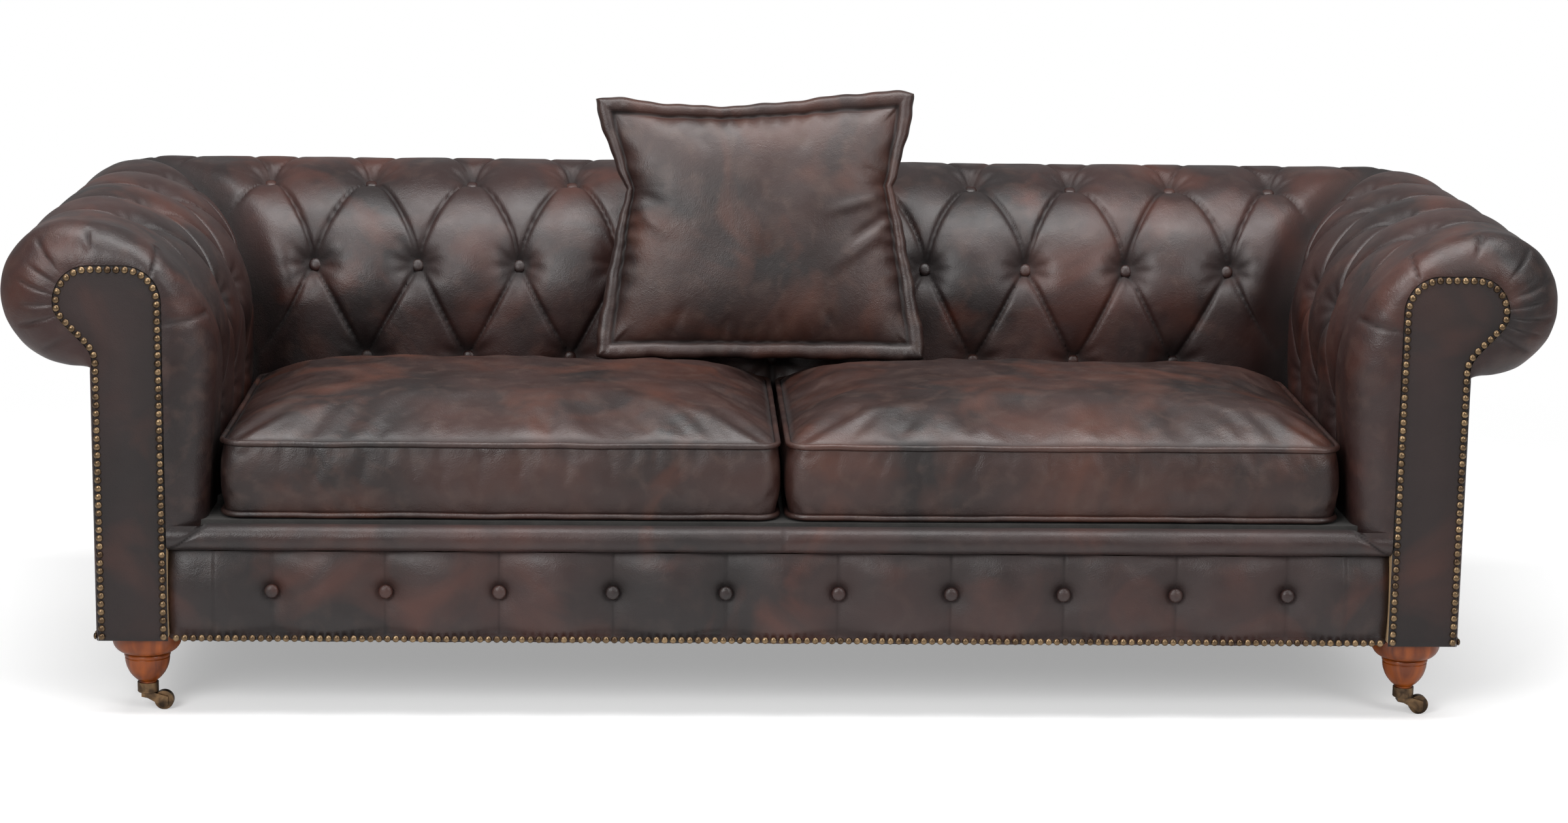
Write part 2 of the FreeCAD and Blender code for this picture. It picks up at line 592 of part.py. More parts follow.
def seat_base_covers():
    """Deck over the springs, padded front of the base, flat outer panels and dust cover."""
    box("seat_deck", ("-side_rail_inner", "rail_front", "deck_bottom"),
        ("side_rail_inner", "back_rail_inner", "deck_top"))
    inner = "(scroll_inner - facing_edge - cover_gap)"

    cover = new_body("front_rail_cover")
    face = sketch_on(cover, "XZ_Plane", "Face", "-rail_front")
    outline(face, [(f"-{inner}", "frame_bottom"), (inner, "frame_bottom"),
                   (inner, "border_seam"), (f"-{inner}", "border_seam")])
    pad(cover, face, "rail_front - rail_cover_front")
    first = sketch_on(cover, "XZ_Plane", "FirstTuft", "-rail_cover_front")
    circle_in(first, "-(rail_button_count - 1) / 2 * rail_button_pitch", "rail_button_height", "tuft_radius")
    tuft = pocket(cover, first, "tuft_depth")
    row = cover.newObject("PartDesign::LinearPattern", "TuftRow")
    row.Originals = [tuft]
    row.Direction = (first, ["H_Axis"])
    row.setExpression("Length", bound("(rail_button_count - 1) * rail_button_pitch"))
    row.Occurrences = int(number("rail_button_count"))
    cover.Tip = row

    border = new_body("front_border")
    section = sketch_on(border, "YZ_Plane", "Section", f"-{inner}")
    outline(section, [
        ("rail_front", "border_seam"),
        ("border_front + border_rounding", "border_seam", "border_rounding", -1, False),
        ("border_front", "border_seam + border_rounding"),
        ("border_front", "border_top - border_rounding", "border_rounding", -1, False),
        ("border_front + border_rounding", "border_top"),
        ("rail_front", "border_top"),
    ])
    pad(border, section, f"2 * {inner}")

    panel_top = "roll_z - sqrt(roll_radius * roll_radius - roll_overhang * roll_overhang)"
    for name, side in SIDES:
        spans = {1: ("arm_outer - leather", "arm_outer"), -1: ("-arm_outer", "-arm_outer + leather")}
        low, high = spans[side]
        box(f"{name}_outside_panel", (low, "board_front", "frame_bottom"),
            (high, "back_outer - leather", panel_top))
    box("back_outside_panel", ("-arm_outer", "back_outer - leather", "frame_bottom"),
        ("arm_outer", "back_outer", panel_top))

    cloth = new_body("dust_cover")
    sheet_shape = sketch_on(cloth, "XY_Plane", "Sheet", "frame_bottom - dust_cover_thickness")
    width = "(arm_outer - dust_cover_inset)"
    narrow = "(leg_x - leg_notch)"
    front, front_notch = "board_front + dust_cover_inset", "leg_front + leg_notch"
    back, back_notch = "back_outer - dust_cover_inset", "leg_back - leg_notch"
    outline(sheet_shape, [
        (f"-{narrow}", front), (narrow, front), (narrow, front_notch), (width, front_notch),
        (width, back_notch), (narrow, back_notch), (narrow, back), (f"-{narrow}", back),
        (f"-{narrow}", back_notch), (f"-{width}", back_notch),
        (f"-{width}", front_notch), (f"-{narrow}", front_notch),
    ])
    pad(cloth, sheet_shape, "dust_cover_thickness")


def cushion_section(sketch, inset):
    """Boxed cushion with a crowned top, a distance inside its cover."""
    side = f"({inset})"
    outline(sketch, [
        (f"cushion_inner + {side}", f"cushion_bottom + {side}"),
        (f"cushion_outer - {side}", f"cushion_bottom + {side}"),
        (f"cushion_outer - {side}", f"cushion_edge - {side}", "cushion_arch", 1, False),
        (f"cushion_inner + {side}", f"cushion_edge - {side}"),
    ])


def crowned_block(label, inset):
    """The cushion's volume, a distance inside its outer face."""
    body = new_body(label)
    section = sketch_on(body, "XZ_Plane", "Section", f"-(cushion_front + ({inset}))")
    cushion_section(section, inset)
    block = pad(body, section, f"cushion_back - cushion_front - 2 * ({inset})", backwards=True)
    low = number("cushion_edge") - 1
    floor = number("cushion_bottom") + number(inset) + 1
    doc.recompute()
    names = []
    for place, edge in enumerate(block.Shape.Edges, start=1):
        heights = [vertex.Point.z for vertex in edge.Vertexes]
        if min(heights) < floor and max(heights) > low - number(inset):
            names.append(f"Edge{place}")
    rounding = body.newObject("PartDesign::Fillet", "Corners")
    rounding.Base = (block, names)
    rounding.setExpression("Radius", bound(f"cushion_corner - ({inset})"))
    return body


def piping_loop(label, height):
    """Covered cord round the cushion's edge."""
    body = new_body(label)
    path = sketch_on(body, "XY_Plane", "Path", height)
    out = "piping_radius"
    bend = "(cushion_corner + piping_radius)"
    left, right = f"(cushion_inner - {out})", f"(cushion_outer + {out})"
    front, back = f"(cushion_front - {out})", f"(cushion_back + {out})"
    outline(path, [
        ("cushion_middle", front),
        (f"{right} - {bend}", front, bend, 1, False),
        (right, f"{front} + {bend}"),
        (right, f"{back} - {bend}", bend, 1, False),
        (f"{right} - {bend}", back),
        (f"{left} + {bend}", back, bend, 1, False),
        (left, f"{back} - {bend}"),
        (left, f"{front} + {bend}", bend, 1, False),
        (f"{left} + {bend}", front),
    ])
    section = sketch_on(body, "YZ_Plane", "CordSection", "cushion_middle")
    circle_in(section, front, height, "piping_radius")
    cord = body.newObject("PartDesign::AdditivePipe", "Cord")
    cord.Profile = section
    cord.Spine = (path, [f"Edge{place}" for place in range(1, 10)])
    return body


def seat_cushions():
    """Two loose cushions: a leather cover, a foam core and two rounds of piping."""
    cover = doc.addObject("Part::Cut", "right_cushion_cover")
    cover.Base = crowned_block("cushion_outside", "0")
    cover.Tool = crowned_block("cushion_hollow", "leather")
    core = crowned_block("right_cushion_core", "leather + filling_gap")
    lower = piping_loop("lower_piping", "cushion_bottom + piping_inset")
    upper = piping_loop("upper_piping", "cushion_edge - piping_inset")
    piping = gather("right_cushion_piping", [lower, upper])
    for piece in (cover, core, piping):
        twin = mirrored(piece)
        twin.Label = piece.Label.replace("right", "left")


def pillow_block(label, inset):
    """The pillow's stuffed body in its own frame, upright, a distance inside its cover."""
    body = new_body(label)
    shape = sketch_on(body, "XZ_Plane", "Front", f"pillow_thickness / 2 - ({inset})")
    half_width = f"(pillow_width / 2 - flange_width - ({inset}))"
    half_height = f"(pillow_height / 2 - flange_width - ({inset}))"
    outline(shape, [(f"-{half_width}", f"-{half_height}"), (half_width, f"-{half_height}"),
                    (half_width, half_height), (f"-{half_width}", half_height)])
    block = pad(body, shape, f"pillow_thickness - 2 * ({inset})", backwards=True)
    depth = number("pillow_thickness") / 2 - number(inset) - 1

    def on_face(point):
        return abs(point.y) > depth

    doc.recompute()
    names = []
    for place, edge in enumerate(block.Shape.Edges, start=1):
        first, last = edge.Vertexes[0].Point, edge.Vertexes[-1].Point
        if abs(first.y - last.y) < 1 and on_face(first):
            names.append(f"Edge{place}")
    rounding = body.newObject("PartDesign::Fillet", "Rounding")
    rounding.Base = (block, names)
    rounding.setExpression("Radius", bound(f"pillow_rounding - ({inset})"))
    return body


def throw_pillow():
    """Loose pillow with a rolled flange, leaning on the back."""
    flange = new_body("pillow_flange")
    shape = sketch_on(flange, "XZ_Plane", "Front", "flange_thickness / 2")
    outline(shape, [("-pillow_width / 2", "-pillow_height / 2"), ("pillow_width / 2", "-pillow_height / 2"),
                    ("pillow_width / 2", "pillow_height / 2"), ("-pillow_width / 2", "pillow_height / 2")])
    pad(flange, shape, "flange_thickness", backwards=True)
    whole = doc.addObject("Part::Fuse", "pillow_whole")
    whole.Base = flange
    whole.Tool = pillow_block("pillow_outside", "0")
    cover = doc.addObject("Part::Cut", "pillow_cover")
    cover.Base = whole
    cover.Tool = pillow_block("pillow_hollow", "leather")
    insert = pillow_block("pillow_insert", "leather + filling_gap")
    for piece in (cover, insert):
        for axis, expression in (("x", "pillow_across"), ("y", "pillow_depth"), ("z", "pillow_centre")):
            piece.setExpression(f"Placement.Base.{axis}", bound(expression))
        piece.Placement.Rotation = Rotation(Vector(1, 0, 0), -number("pillow_lean"))


def dome(radius, rise):
    """A shallow cap that stands up from its flat base at the origin."""
    sphere = (radius * radius + rise * rise) / (2 * rise)
    ball = Part.makeSphere(sphere, Vector(0, 0, rise - sphere))
    keep = Part.makeBox(2 * radius, 2 * radius, rise, Vector(-radius, -radius, 0))
    return ball.common(keep)


def facing_outwards(point, normal):
    """Place for a cap whose base lies at a point and whose top looks along a direction."""
    return Placement(point, Rotation(Vector(0, 0, 1), normal))


def row_of(count, pitch):
    """Places of a row that is centred on the middle."""
    return [(index - (count - 1) / 2) * pitch for index in range(count)]


def face_point(foot, up):
    """Point of the inner face at a height: across, up and the leather's outward direction."""
    sine, cosine = number("lean_sine"), number("lean_cosine")
    across = number(foot) + (up - number("foot_height")) * cosine / sine
    return across, up, (-sine, cosine)


def shoulder_point(centre, turn):
    """Point of the shoulder, a number of degrees up from its inner side."""
    angle = math.radians(turn)
    radius = number("shoulder_radius")
    normal = (-math.cos(angle), math.sin(angle))
    return number(centre) + radius * normal[0], number("shoulder_z") + radius * normal[1], normal


def button_rows(foot, centre):
    """The lower, middle and top row of buttons of an arm or the back."""
    return (face_point(foot, number("lower_row")),
            shoulder_point(centre, number("middle_row_turn")),
            shoulder_point(centre, number("top_row_turn")))


def back_buttons(cap):
    """Three rows on the back, the middle one half a pitch aside."""
    middle = int(number("middle_row_count"))
    places = []
    for (across, up, normal), count in zip(button_rows("back_inner", "roll_y"),
                                           (middle - 1, middle, middle + 1)):
        for x in row_of(count, number("button_pitch")):
            places.append(facing_outwards(Vector(x, across, up), Vector(0, *normal)))
    feature_of("back_buttons", copies(cap, places))


def arm_buttons(cap):
    """Three rows on the inner side of each arm, the middle one half a pitch aside."""
    pitch = number("arm_button_pitch")
    start = number("arm_row_start")
    count = int(number("arm_row_count"))
    places = []
    for _, side in SIDES:
        for (across, up, normal), shift, total in zip(button_rows("arm_inner", "roll_x"),
                                                      (0, 0.5, 0), (count - 1, count - 1, count)):
            for index in range(total):
                point = Vector(side * across, start + (index + shift) * pitch, up)
                places.append(facing_outwards(point, Vector(side * normal[0], 0, normal[1])))
    feature_of("arm_buttons", copies(cap, places))


def front_rail_buttons(cap):
    """One row across the front of the base, sunk in their tufts."""
    pitch = number("rail_button_pitch")
    face = number("rail_cover_front + tuft_depth")
    up = number("rail_button_height")
    places = [facing_outwards(Vector(x, face, up), Vector(0, -1, 0))
              for x in row_of(int(number("rail_button_count")), pitch)]
    feature_of("front_rail_buttons", copies(cap, places))


def scroll_nail_line():
    """The line of nails round the right arm's facing, up, over the head and down."""
    inner, outer = number("scroll_inner"), number("scroll_outer")
    head, top, low = number("head_outer"), number("head_top"), number("head_bottom")
    radius = number("head_radius")
    start = number("base_nail_height")
    diagonal = radius / math.sqrt(2)
    edges = [
        Part.makeLine(Vector(inner, 0, start), Vector(inner, 0, top - radius)),
        Part.Arc(Vector(inner, 0, top - radius),
                 Vector(inner + radius - diagonal, 0, top - radius + diagonal),
                 Vector(inner + radius, 0, top)).toShape(),
        Part.makeLine(Vector(inner + radius, 0, top), Vector(head - radius, 0, top)),
        Part.Arc(Vector(head - radius, 0, top), Vector(head, 0, top - radius),
                 Vector(head - radius, 0, low)).toShape(),
        Part.makeLine(Vector(outer, 0, low), Vector(outer, 0, start)),
    ]
    return edges


def along(edges, pitch):
    """Evenly spaced points along each edge in turn."""
    points = []
    for edge in edges:
        count = max(int(round(edge.Length / pitch)), 1)
        for index in range(count):
            step = edge.FirstParameter + (edge.LastParameter - edge.FirstParameter) * (index + 0.5) / count
            points.append(edge.valueAt(step))
    return points


def nails():
    """Domed nails round the arm facings and along the lower edge of the base."""
    cap = dome(number("nail_radius"), number("nail_rise"))
    pitch = number("nail_pitch")
    front = number("facing_front")
    places = []
    for _, side in SIDES:
        for point in along(scroll_nail_line(), pitch):
            places.append(facing_outwards(Vector(side * point.x, front, point.z), Vector(0, -1, 0)))
    feature_of("facing_nails", copies(cap, places))

    up = number("base_nail_height")
    inner = number("scroll_inner - 2 * facing_edge")
    face = number("rail_cover_front")
    outer, back = number("arm_outer"), number("back_outer")
    runs = [
        (Vector(-inner, face, up), Vector(inner, face, up), Vector(0, -1, 0)),
        (Vector(outer, front + 2 * pitch, up), Vector(outer, back - pitch, up), Vector(1, 0, 0)),
        (Vector(-outer, front + 2 * pitch, up), Vector(-outer, back - pitch, up), Vector(-1, 0, 0)),
        (Vector(-outer + pitch, back, up), Vector(outer - pitch, back, up), Vector(0, 1, 0)),
    ]
    places = []
    for first, last, normal in runs:
        for point in along([Part.makeLine(first, last)], pitch):
            places.append(facing_outwards(point, normal))
    feature_of("base_nails", copies(cap, places))


def legs():
    """Four turned legs, bored from above for their hanger bolts."""
    turned = new_body("turned_leg")
    profile = sketch_on(turned, "XZ_Plane", "Profile")
    outline(profile, [
        ("0", "leg_bottom"),
        ("leg_tip_radius", "leg_bottom"),
        ("leg_tip_radius", "leg_tip_top", "leg_bowl_curve", 1, False),
        ("leg_bowl_radius", "leg_bowl_top"),
        ("leg_waist_radius", "leg_ring_bottom", "leg_ring_curve", 1, False),
        ("leg_waist_radius", "leg_ring_top"),
        ("leg_shoulder_radius", "leg_ring_top + 1", "leg_shoulder_curve", 1, False),
        ("leg_top_radius", "leg_shoulder_top"),
        ("leg_top_radius", "frame_bottom"),
        ("bolt_bore", "frame_bottom"),
        ("bolt_bore", "frame_bottom - bolt_length"),
        ("0", "frame_bottom - bolt_length"),
    ])
    revolve(turned, profile)
    bolt = doc.addObject("Part::Cylinder", "hanger_bolt")
    bolt.setExpression("Radius", bound("bolt_radius"))
    bolt.setExpression("Height", bound("2 * bolt_length"))
    bolt.setExpression("Placement.Base.z", bound("frame_bottom - bolt_length"))
    doc.recompute()
    places = [Placement(Vector(x, y, 0), Rotation()) for x, y, turn in leg_places()]
    feature_of("legs", copies(turned.Shape, places))
    feature_of("leg_bolts", copies(bolt.Shape, places))
    feature_of("caster_cups", copies(caster_cup(), places))


def leg_places():
    """Leg axes and the way each caster trails, in degrees from +X."""
    x = number("leg_x")
    front, back = number("leg_front"), number("leg_back")
    return [(-x, front, 0), (x, front, 0), (-x, back, 60), (x, back, 115)]


LEG_NAMES = ("front_left", "front_right", "rear_left", "rear_right")


def caster_cup():
    """Cup round the leg's lower end with the swivel pin under it."""
    cup = new_body("caster_cup")
    profile = sketch_on(cup, "XZ_Plane", "Profile")
    outline(profile, [
        ("0", "horn_plate"),
        ("pin_radius", "horn_plate"),
        ("pin_radius", "cup_floor"),
        ("cup_radius - 1", "cup_floor"),
        ("cup_radius", "cup_floor + 1"),
        ("cup_radius", "cup_top"),
        ("leg_tip_radius", "cup_top"),
        ("leg_tip_radius", "leg_bottom"),
        ("0", "leg_bottom"),
    ])
    revolve(cup, profile)
    doc.recompute()
    return cup.Shape


def caster(name, x, y, turn):
    """Swivelling horn with its axle and wheel, trailing along +X before it is turned."""
    horn = new_body(f"{name}_caster_horn")
    side = sketch_on(horn, "XZ_Plane", "Side", "-horn_half")
    top = "cup_floor - horn_gap"
    outline(side, [
        ("-horn_half", "horn_plate"),
        ("0", "horn_plate - horn_rise"),
        ("horn_trail - horn_cheek", "wheel_radius - horn_cheek", "1.1 * horn_cheek", 1, False),
        ("horn_trail + horn_cheek", "wheel_radius - horn_cheek"),
        ("horn_trail + horn_cheek", "wheel_radius + horn_cheek"),
        ("horn_half", top),
        ("-horn_half", top),
    ])
    pad(horn, side, "2 * horn_half")
    slot = sketch_on(horn, "XY_Plane", "Slot", "wheel_radius")
    gap = "(wheel_width / 2 + horn_gap)"
    outline(slot, [("horn_half", f"-{gap}"), ("2 * horn_trail", f"-{gap}"),
                   ("2 * horn_trail", gap), ("horn_half", gap)])
    cut = pocket(horn, slot, "2 * wheel_radius")
    cut.SideType = "Symmetric"
    pin = sketch_on(horn, "XY_Plane", "PinBore")
    circle_in(pin, "0", "0", "pin_bore")
    pocket(horn, pin, "cup_top", backwards=True, name="PinCut")
    eye = sketch_on(horn, "XZ_Plane", "AxleBore", "-horn_half")
    circle_in(eye, "horn_trail", "wheel_radius", "axle_radius")
    pocket(horn, eye, "2 * horn_half", backwards=True, name="AxleCut")

    axle = new_body(f"{name}_caster_axle")
    rod = sketch_on(axle, "XZ_Plane", "Rod", "-horn_half")
    circle_in(rod, "horn_trail", "wheel_radius", "axle_radius")
    pad(axle, rod, "2 * horn_half")

    wheel = new_body(f"{name}_caster_wheel")
    disc = sketch_on(wheel, "XZ_Plane", "Disc", "-wheel_width / 2")
    circle_in(disc, "horn_trail", "wheel_radius", "wheel_radius")
    pad(wheel, disc, "wheel_width")
    bore = sketch_on(wheel, "XZ_Plane", "Bore", "-wheel_width / 2")
    circle_in(bore, "horn_trail", "wheel_radius", "wheel_bore")
    pocket(wheel, bore, "wheel_width", backwards=True)
    for body in (horn, axle, wheel):
        body.Placement = Placement(Vector(x, y, 0), Rotation(Vector(0, 0, 1), turn))


fill_sheet()
rails()
corner_blocks()
arm_and_back_timbers()
for name, side in SIDES:
    scroll_prism(f"{name}_scroll_board", side, "facing_edge", "board_front", "rail_front", "rail_bottom")
    scroll_prism(f"{name}_scroll_facing", side, "facing_edge", "facing_front", "board_front", "frame_bottom")
    arm_front_pad(name, side)
    arm_layer(f"{name}_arm_padding", side, "leather", "padding_inside")
    arm_layer(f"{name}_inside_arm_cover", side, "0", "leather")
back_layer("back_padding", "leather", "padding_inside")
back_layer("inside_back_cover", "0", "leather")
seat_springs()
seat_base_covers()
seat_cushions()
throw_pillow()
button = dome(number("button_radius"), number("button_rise"))
back_buttons(button)
arm_buttons(button)
front_rail_buttons(button)
nails()
legs()
for name, (x, y, turn) in zip(LEG_NAMES, leg_places()):
    caster(name, x, y, turn)
doc.recompute()

NODES = [
    "front_rail", "back_rail", "left_side_rail", "right_side_rail", "cross_rails", "corner_blocks",
    "arm_posts", "arm_top_rails", "back_posts", "back_top_rail",
    "left_scroll_board", "right_scroll_board", "left_scroll_facing", "right_scroll_facing",
    "left_arm_front_pad", "right_arm_front_pad", "left_arm_padding", "right_arm_padding",
    "left_inside_arm_cover", "right_inside_arm_cover", "back_padding", "inside_back_cover",
    "seat_springs", "spring_clips", "seat_deck", "front_rail_cover", "front_border",
    "left_outside_panel", "right_outside_panel", "back_outside_panel", "dust_cover",
    "left_cushion_cover", "left_cushion_core", "left_cushion_piping",
    "right_cushion_cover", "right_cushion_core", "right_cushion_piping",
    "pillow_cover", "pillow_insert", "back_buttons", "arm_buttons", "front_rail_buttons",
    "facing_nails", "base_nails", "legs", "leg_bolts", "caster_cups",
]
NODES += [f"{name}_caster_{part}" for name in LEG_NAMES for part in ("horn", "axle", "wheel")]


def write_nodes():
    """Checks every object of the document, then writes one file for each node."""
    for item in doc.Objects:
        if "Invalid" in item.State or "Error" in item.State:
            raise RuntimeError(f"{item.Label} failed: {item.State}")
    by_label = {item.Label: item for item in doc.Objects}
    for label in NODES:
        shape = by_label[label].Shape
        if shape.isNull() or not shape.isValid():
            raise RuntimeError(f"{label} has no valid shape")
    os.makedirs("parts", exist_ok=True)
    for label in NODES:
        by_label[label].Shape.exportStep(f"parts/{label}.step")


write_nodes()
total = sum(len(item.Shape.Solids) for item in doc.Objects if item.Label in NODES)
print(f"{len(NODES)} nodes, {total} solids")
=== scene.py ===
import math

import bpy
import numpy as np
from mathutils import Matrix, Vector


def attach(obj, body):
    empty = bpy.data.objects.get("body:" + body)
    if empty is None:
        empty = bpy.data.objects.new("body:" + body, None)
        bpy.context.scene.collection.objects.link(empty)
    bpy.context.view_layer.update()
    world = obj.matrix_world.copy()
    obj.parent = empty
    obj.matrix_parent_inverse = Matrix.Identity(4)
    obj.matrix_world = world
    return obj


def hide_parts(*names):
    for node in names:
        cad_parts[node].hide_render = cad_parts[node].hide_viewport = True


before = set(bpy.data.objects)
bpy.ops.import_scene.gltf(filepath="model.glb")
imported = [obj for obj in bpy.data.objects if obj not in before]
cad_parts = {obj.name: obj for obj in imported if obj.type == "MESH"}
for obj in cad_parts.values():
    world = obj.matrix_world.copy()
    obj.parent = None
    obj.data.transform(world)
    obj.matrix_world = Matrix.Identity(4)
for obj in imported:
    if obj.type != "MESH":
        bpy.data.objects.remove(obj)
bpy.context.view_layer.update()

# Section shared by the arms and the back, in metres. Across is x for an arm and y for the back.
ARM_CENTRE = 1.088
BACK_CENTRE = 0.363
ARM_TO_BACK = ARM_CENTRE - BACK_CENTRE
ROLL_HEIGHT, ROLL_RADIUS = 0.662, 0.112
SHOULDER_HEIGHT, SHOULDER_RADIUS = 0.559, 0.215
FOOT_ACROSS, FOOT_HEIGHT = 0.890, 0.313
LEAN_SINE, LEAN_COSINE = 0.9975, -0.0711
FACE_LENGTH = 0.2313
LEAN = math.asin(LEAN_COSINE)
CREST_TURN = math.pi / 2
SHOULDER_LENGTH = SHOULDER_RADIUS * (CREST_TURN - LEAN)
CREST = FACE_LENGTH + SHOULDER_LENGTH
ROLL_END = 0.9645
COLUMN_FOOT = -0.040

# Rows of buttons, as distances up the section
LOWER_ROW, MIDDLE_ROW, TOP_ROW = 0.1430, 0.3104, 0.5055
BACK_PITCH = 0.173
ARM_PITCH, ARM_FIRST = 0.157, -0.28
ARM_FRONT = -0.410
PIT_DEPTH, PUFF_RISE = 0.031, 0.004
BACK_FOLD, ARM_FOLD = 0.012, 0.018
GRID = 0.004

# Pit round a button: its flat floor, the reach of its slope, and the small folds gathered round it
PIT_FLOOR, PIT_REACH = 0.012, 0.021
GATHER_FOLDS, GATHER_AT, GATHER_REACH, GATHER_HEIGHT = 9, 0.032, 0.020, 0.0009

# The leather is drawn into the mitre between arm and back only close to it
MITRE_POWER = 12

# Foot of all leather, top of the facings, and edges of the flat outside panels
LEATHER_FOOT, FACING_TOP = 0.125, 0.712
PANEL_TOP, PANEL_FRONT, PANEL_BACK, PANEL_HALF = 0.5536, -0.466, 0.335, 1.060
FRONT_HALF = 0.9484

# Points along a side of the grid of random heights that makes the leather uneven
LATTICE = 64

SIDES = (("left", -1), ("right", 1))


def smooth(value, low, high):
    """0 below low, 1 above high, and an even curve between."""
    part = np.clip((value - low) / (high - low), 0, 1)
    return part * part * (3 - 2 * part)


def section(along):
    """Points of the section: across from the arm's centre line, height and the normal's turn."""
    along = np.asarray(along, float)
    shoulder = LEAN + (along - FACE_LENGTH) / SHOULDER_RADIUS
    roll = CREST_TURN + (along - CREST) / ROLL_RADIUS
    turn = np.where(along < FACE_LENGTH, LEAN, np.where(along < CREST, shoulder, roll))
    radius = np.where(along < CREST, SHOULDER_RADIUS, ROLL_RADIUS)
    height = np.where(along < CREST, SHOULDER_HEIGHT, ROLL_HEIGHT)
    across = ARM_CENTRE - radius * np.cos(turn)
    up = height + radius * np.sin(turn)
    straight = along < FACE_LENGTH
    across = np.where(straight, FOOT_ACROSS + LEAN_COSINE * along, across)
    up = np.where(straight, FOOT_HEIGHT + LEAN_SINE * along, up)
    return across, up, turn


def ripple(a, b, size, seed=0.0):
    """Soft unevenness from -1 to 1 over two lengths, with swells of about this size."""
    heights = np.random.default_rng(int(1000 + 100 * seed)).uniform(-1, 1, (LATTICE, LATTICE))
    angle, total = 0.6 + seed, 0
    for octave, share in ((1, 0.75), (2, 0.25)):
        x = (a * math.cos(angle) + b * math.sin(angle)) * 2 * octave / size
        y = (b * math.cos(angle) - a * math.sin(angle)) * 2 * octave / size
        i, j = np.floor(x).astype(int), np.floor(y).astype(int)
        along_x, along_y = smooth(x - i, 0, 1), smooth(y - j, 0, 1)
        left, right = i % LATTICE, (i + 1) % LATTICE
        low, high = j % LATTICE, (j + 1) % LATTICE
        near = heights[left, low] * (1 - along_x) + heights[right, low] * along_x
        far = heights[left, high] * (1 - along_x) + heights[right, high] * along_x
        total = total + share * (near * (1 - along_y) + far * along_y)
    return total


def crease(distance, width):
    """1 on a line and 0 away from it, with a sharp foot and round shoulders."""
    part = np.clip(np.abs(distance) / width, 0, 1)
    return 1 - np.sqrt(1 - (1 - part) ** 2)


# Meshes


def grid_faces(rows, columns, closed=False, flip=False):
    """Faces of a grid of points. Closed joins the last column to the first."""
    i = np.arange(rows - 1)[:, None]
    j = np.arange(columns if closed else columns - 1)[None, :]
    k = (j + 1) % columns
    corners = [i * columns + j, i * columns + k, (i + 1) * columns + k, (i + 1) * columns + j]
    faces = np.stack(corners, -1).reshape(-1, 4)
    return faces[:, ::-1] if flip else faces


def piece(name, points, faces, body, finish, shade_and_wear=None):
    """A smooth mesh that rides on a body. Its mark runs from 0 in the folds of the leather to 1 on top. It sets
    the leather's painted shade, darkest at 0, and its wear, which shows only near 1.
    """
    points = np.asarray(points, float).reshape(-1, 3)
    mesh = bpy.data.meshes.new(name)
    mesh.from_pydata(points.tolist(), [], [list(map(int, face)) for face in faces])
    mesh.shade_smooth()
    # The mark is stored for the finish: painted shade where it is low, wear where it is high.
    marks = mesh.attributes.new("shade_and_wear", "FLOAT", "POINT")
    values = np.ones(len(points)) if shade_and_wear is None else np.asarray(shade_and_wear, float).ravel()
    marks.data.foreach_set("value", values.astype(np.float32))
    mesh.materials.append(finish)
    thing = bpy.data.objects.new(name, mesh)
    bpy.context.scene.collection.objects.link(thing)
    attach(thing, body)
    return thing


def joined(parts):
    """Points and faces of several meshes as one."""
    points, faces, start = [], [], 0
    for part_points, part_faces in parts:
        part_points = np.asarray(part_points, float).reshape(-1, 3)
        points.append(part_points)
        faces += [[int(corner) + start for corner in face] for face in part_faces]
        start += len(part_points)
    return np.concatenate(points), faces


def welded(points, faces):
    """The same mesh with points that share a place made one, and the numbers of the points kept."""
    points = np.asarray(points, float).reshape(-1, 3)
    _, kept, index = np.unique(np.round(points, 6), axis=0, return_index=True, return_inverse=True)
    faces = index.ravel()[np.asarray(faces)]
    return points[kept], faces, kept


def caps(places, profile, segments):
    """Round caps, one at each (point, direction). The profile is (radius, height) from the rim."""
    around = np.arange(segments) * 2 * math.pi / segments
    ring = np.stack([np.cos(around), np.sin(around)], -1)
    parts = []
    for point, direction in places:
        turn = Vector(direction).to_track_quat("Z", "Y").to_matrix()
        turn = np.array(turn)
        rows = []
        for radius, height in profile:
            flat = np.column_stack([ring * radius, np.full(segments, height)])
            rows.append(flat @ turn.T + np.array(point))
        top = np.array(point) + turn @ np.array([0, 0, profile[-1][1] * 1.02])
        faces = grid_faces(len(rows), segments, closed=True).tolist()
        last = (len(rows) - 1) * segments
        centre = len(rows) * segments
        faces += [[last + j, last + (j + 1) % segments, centre] for j in range(segments)]
        points = np.concatenate([np.concatenate(rows), top[None]])
        parts.append((points, faces))
    return joined(parts)


def tube(path, radius, segments=10):
    """A round cord along a closed, level path."""
    ahead = np.roll(path, -1, 0) - np.roll(path, 1, 0)
    ahead /= np.linalg.norm(ahead, axis=1)[:, None]
    side = np.cross(ahead, np.array([0, 0, 1.0]))
    side /= np.linalg.norm(side, axis=1)[:, None]
    top = np.cross(side, ahead)
    around = np.arange(segments) * 2 * math.pi / segments
    rings = path[:, None] + radius * (
        np.cos(around)[None, :, None] * side[:, None] + np.sin(around)[None, :, None] * top[:, None]
    )
    rings = np.concatenate([rings, rings[:1]])
    return rings, grid_faces(len(rings), segments, closed=True, flip=True)


def cap_piece(name, places, profile, segments, finish):
    """Round caps as one piece of the sofa."""
    points, faces = caps(places, profile, segments)
    return piece(name, points, faces, "sofa", finish)


# Finishes


# Sockets of the Mix node that hold its two colours and the mixed one
MIX_START, MIX_END, MIX_RESULT = 6, 7, 2


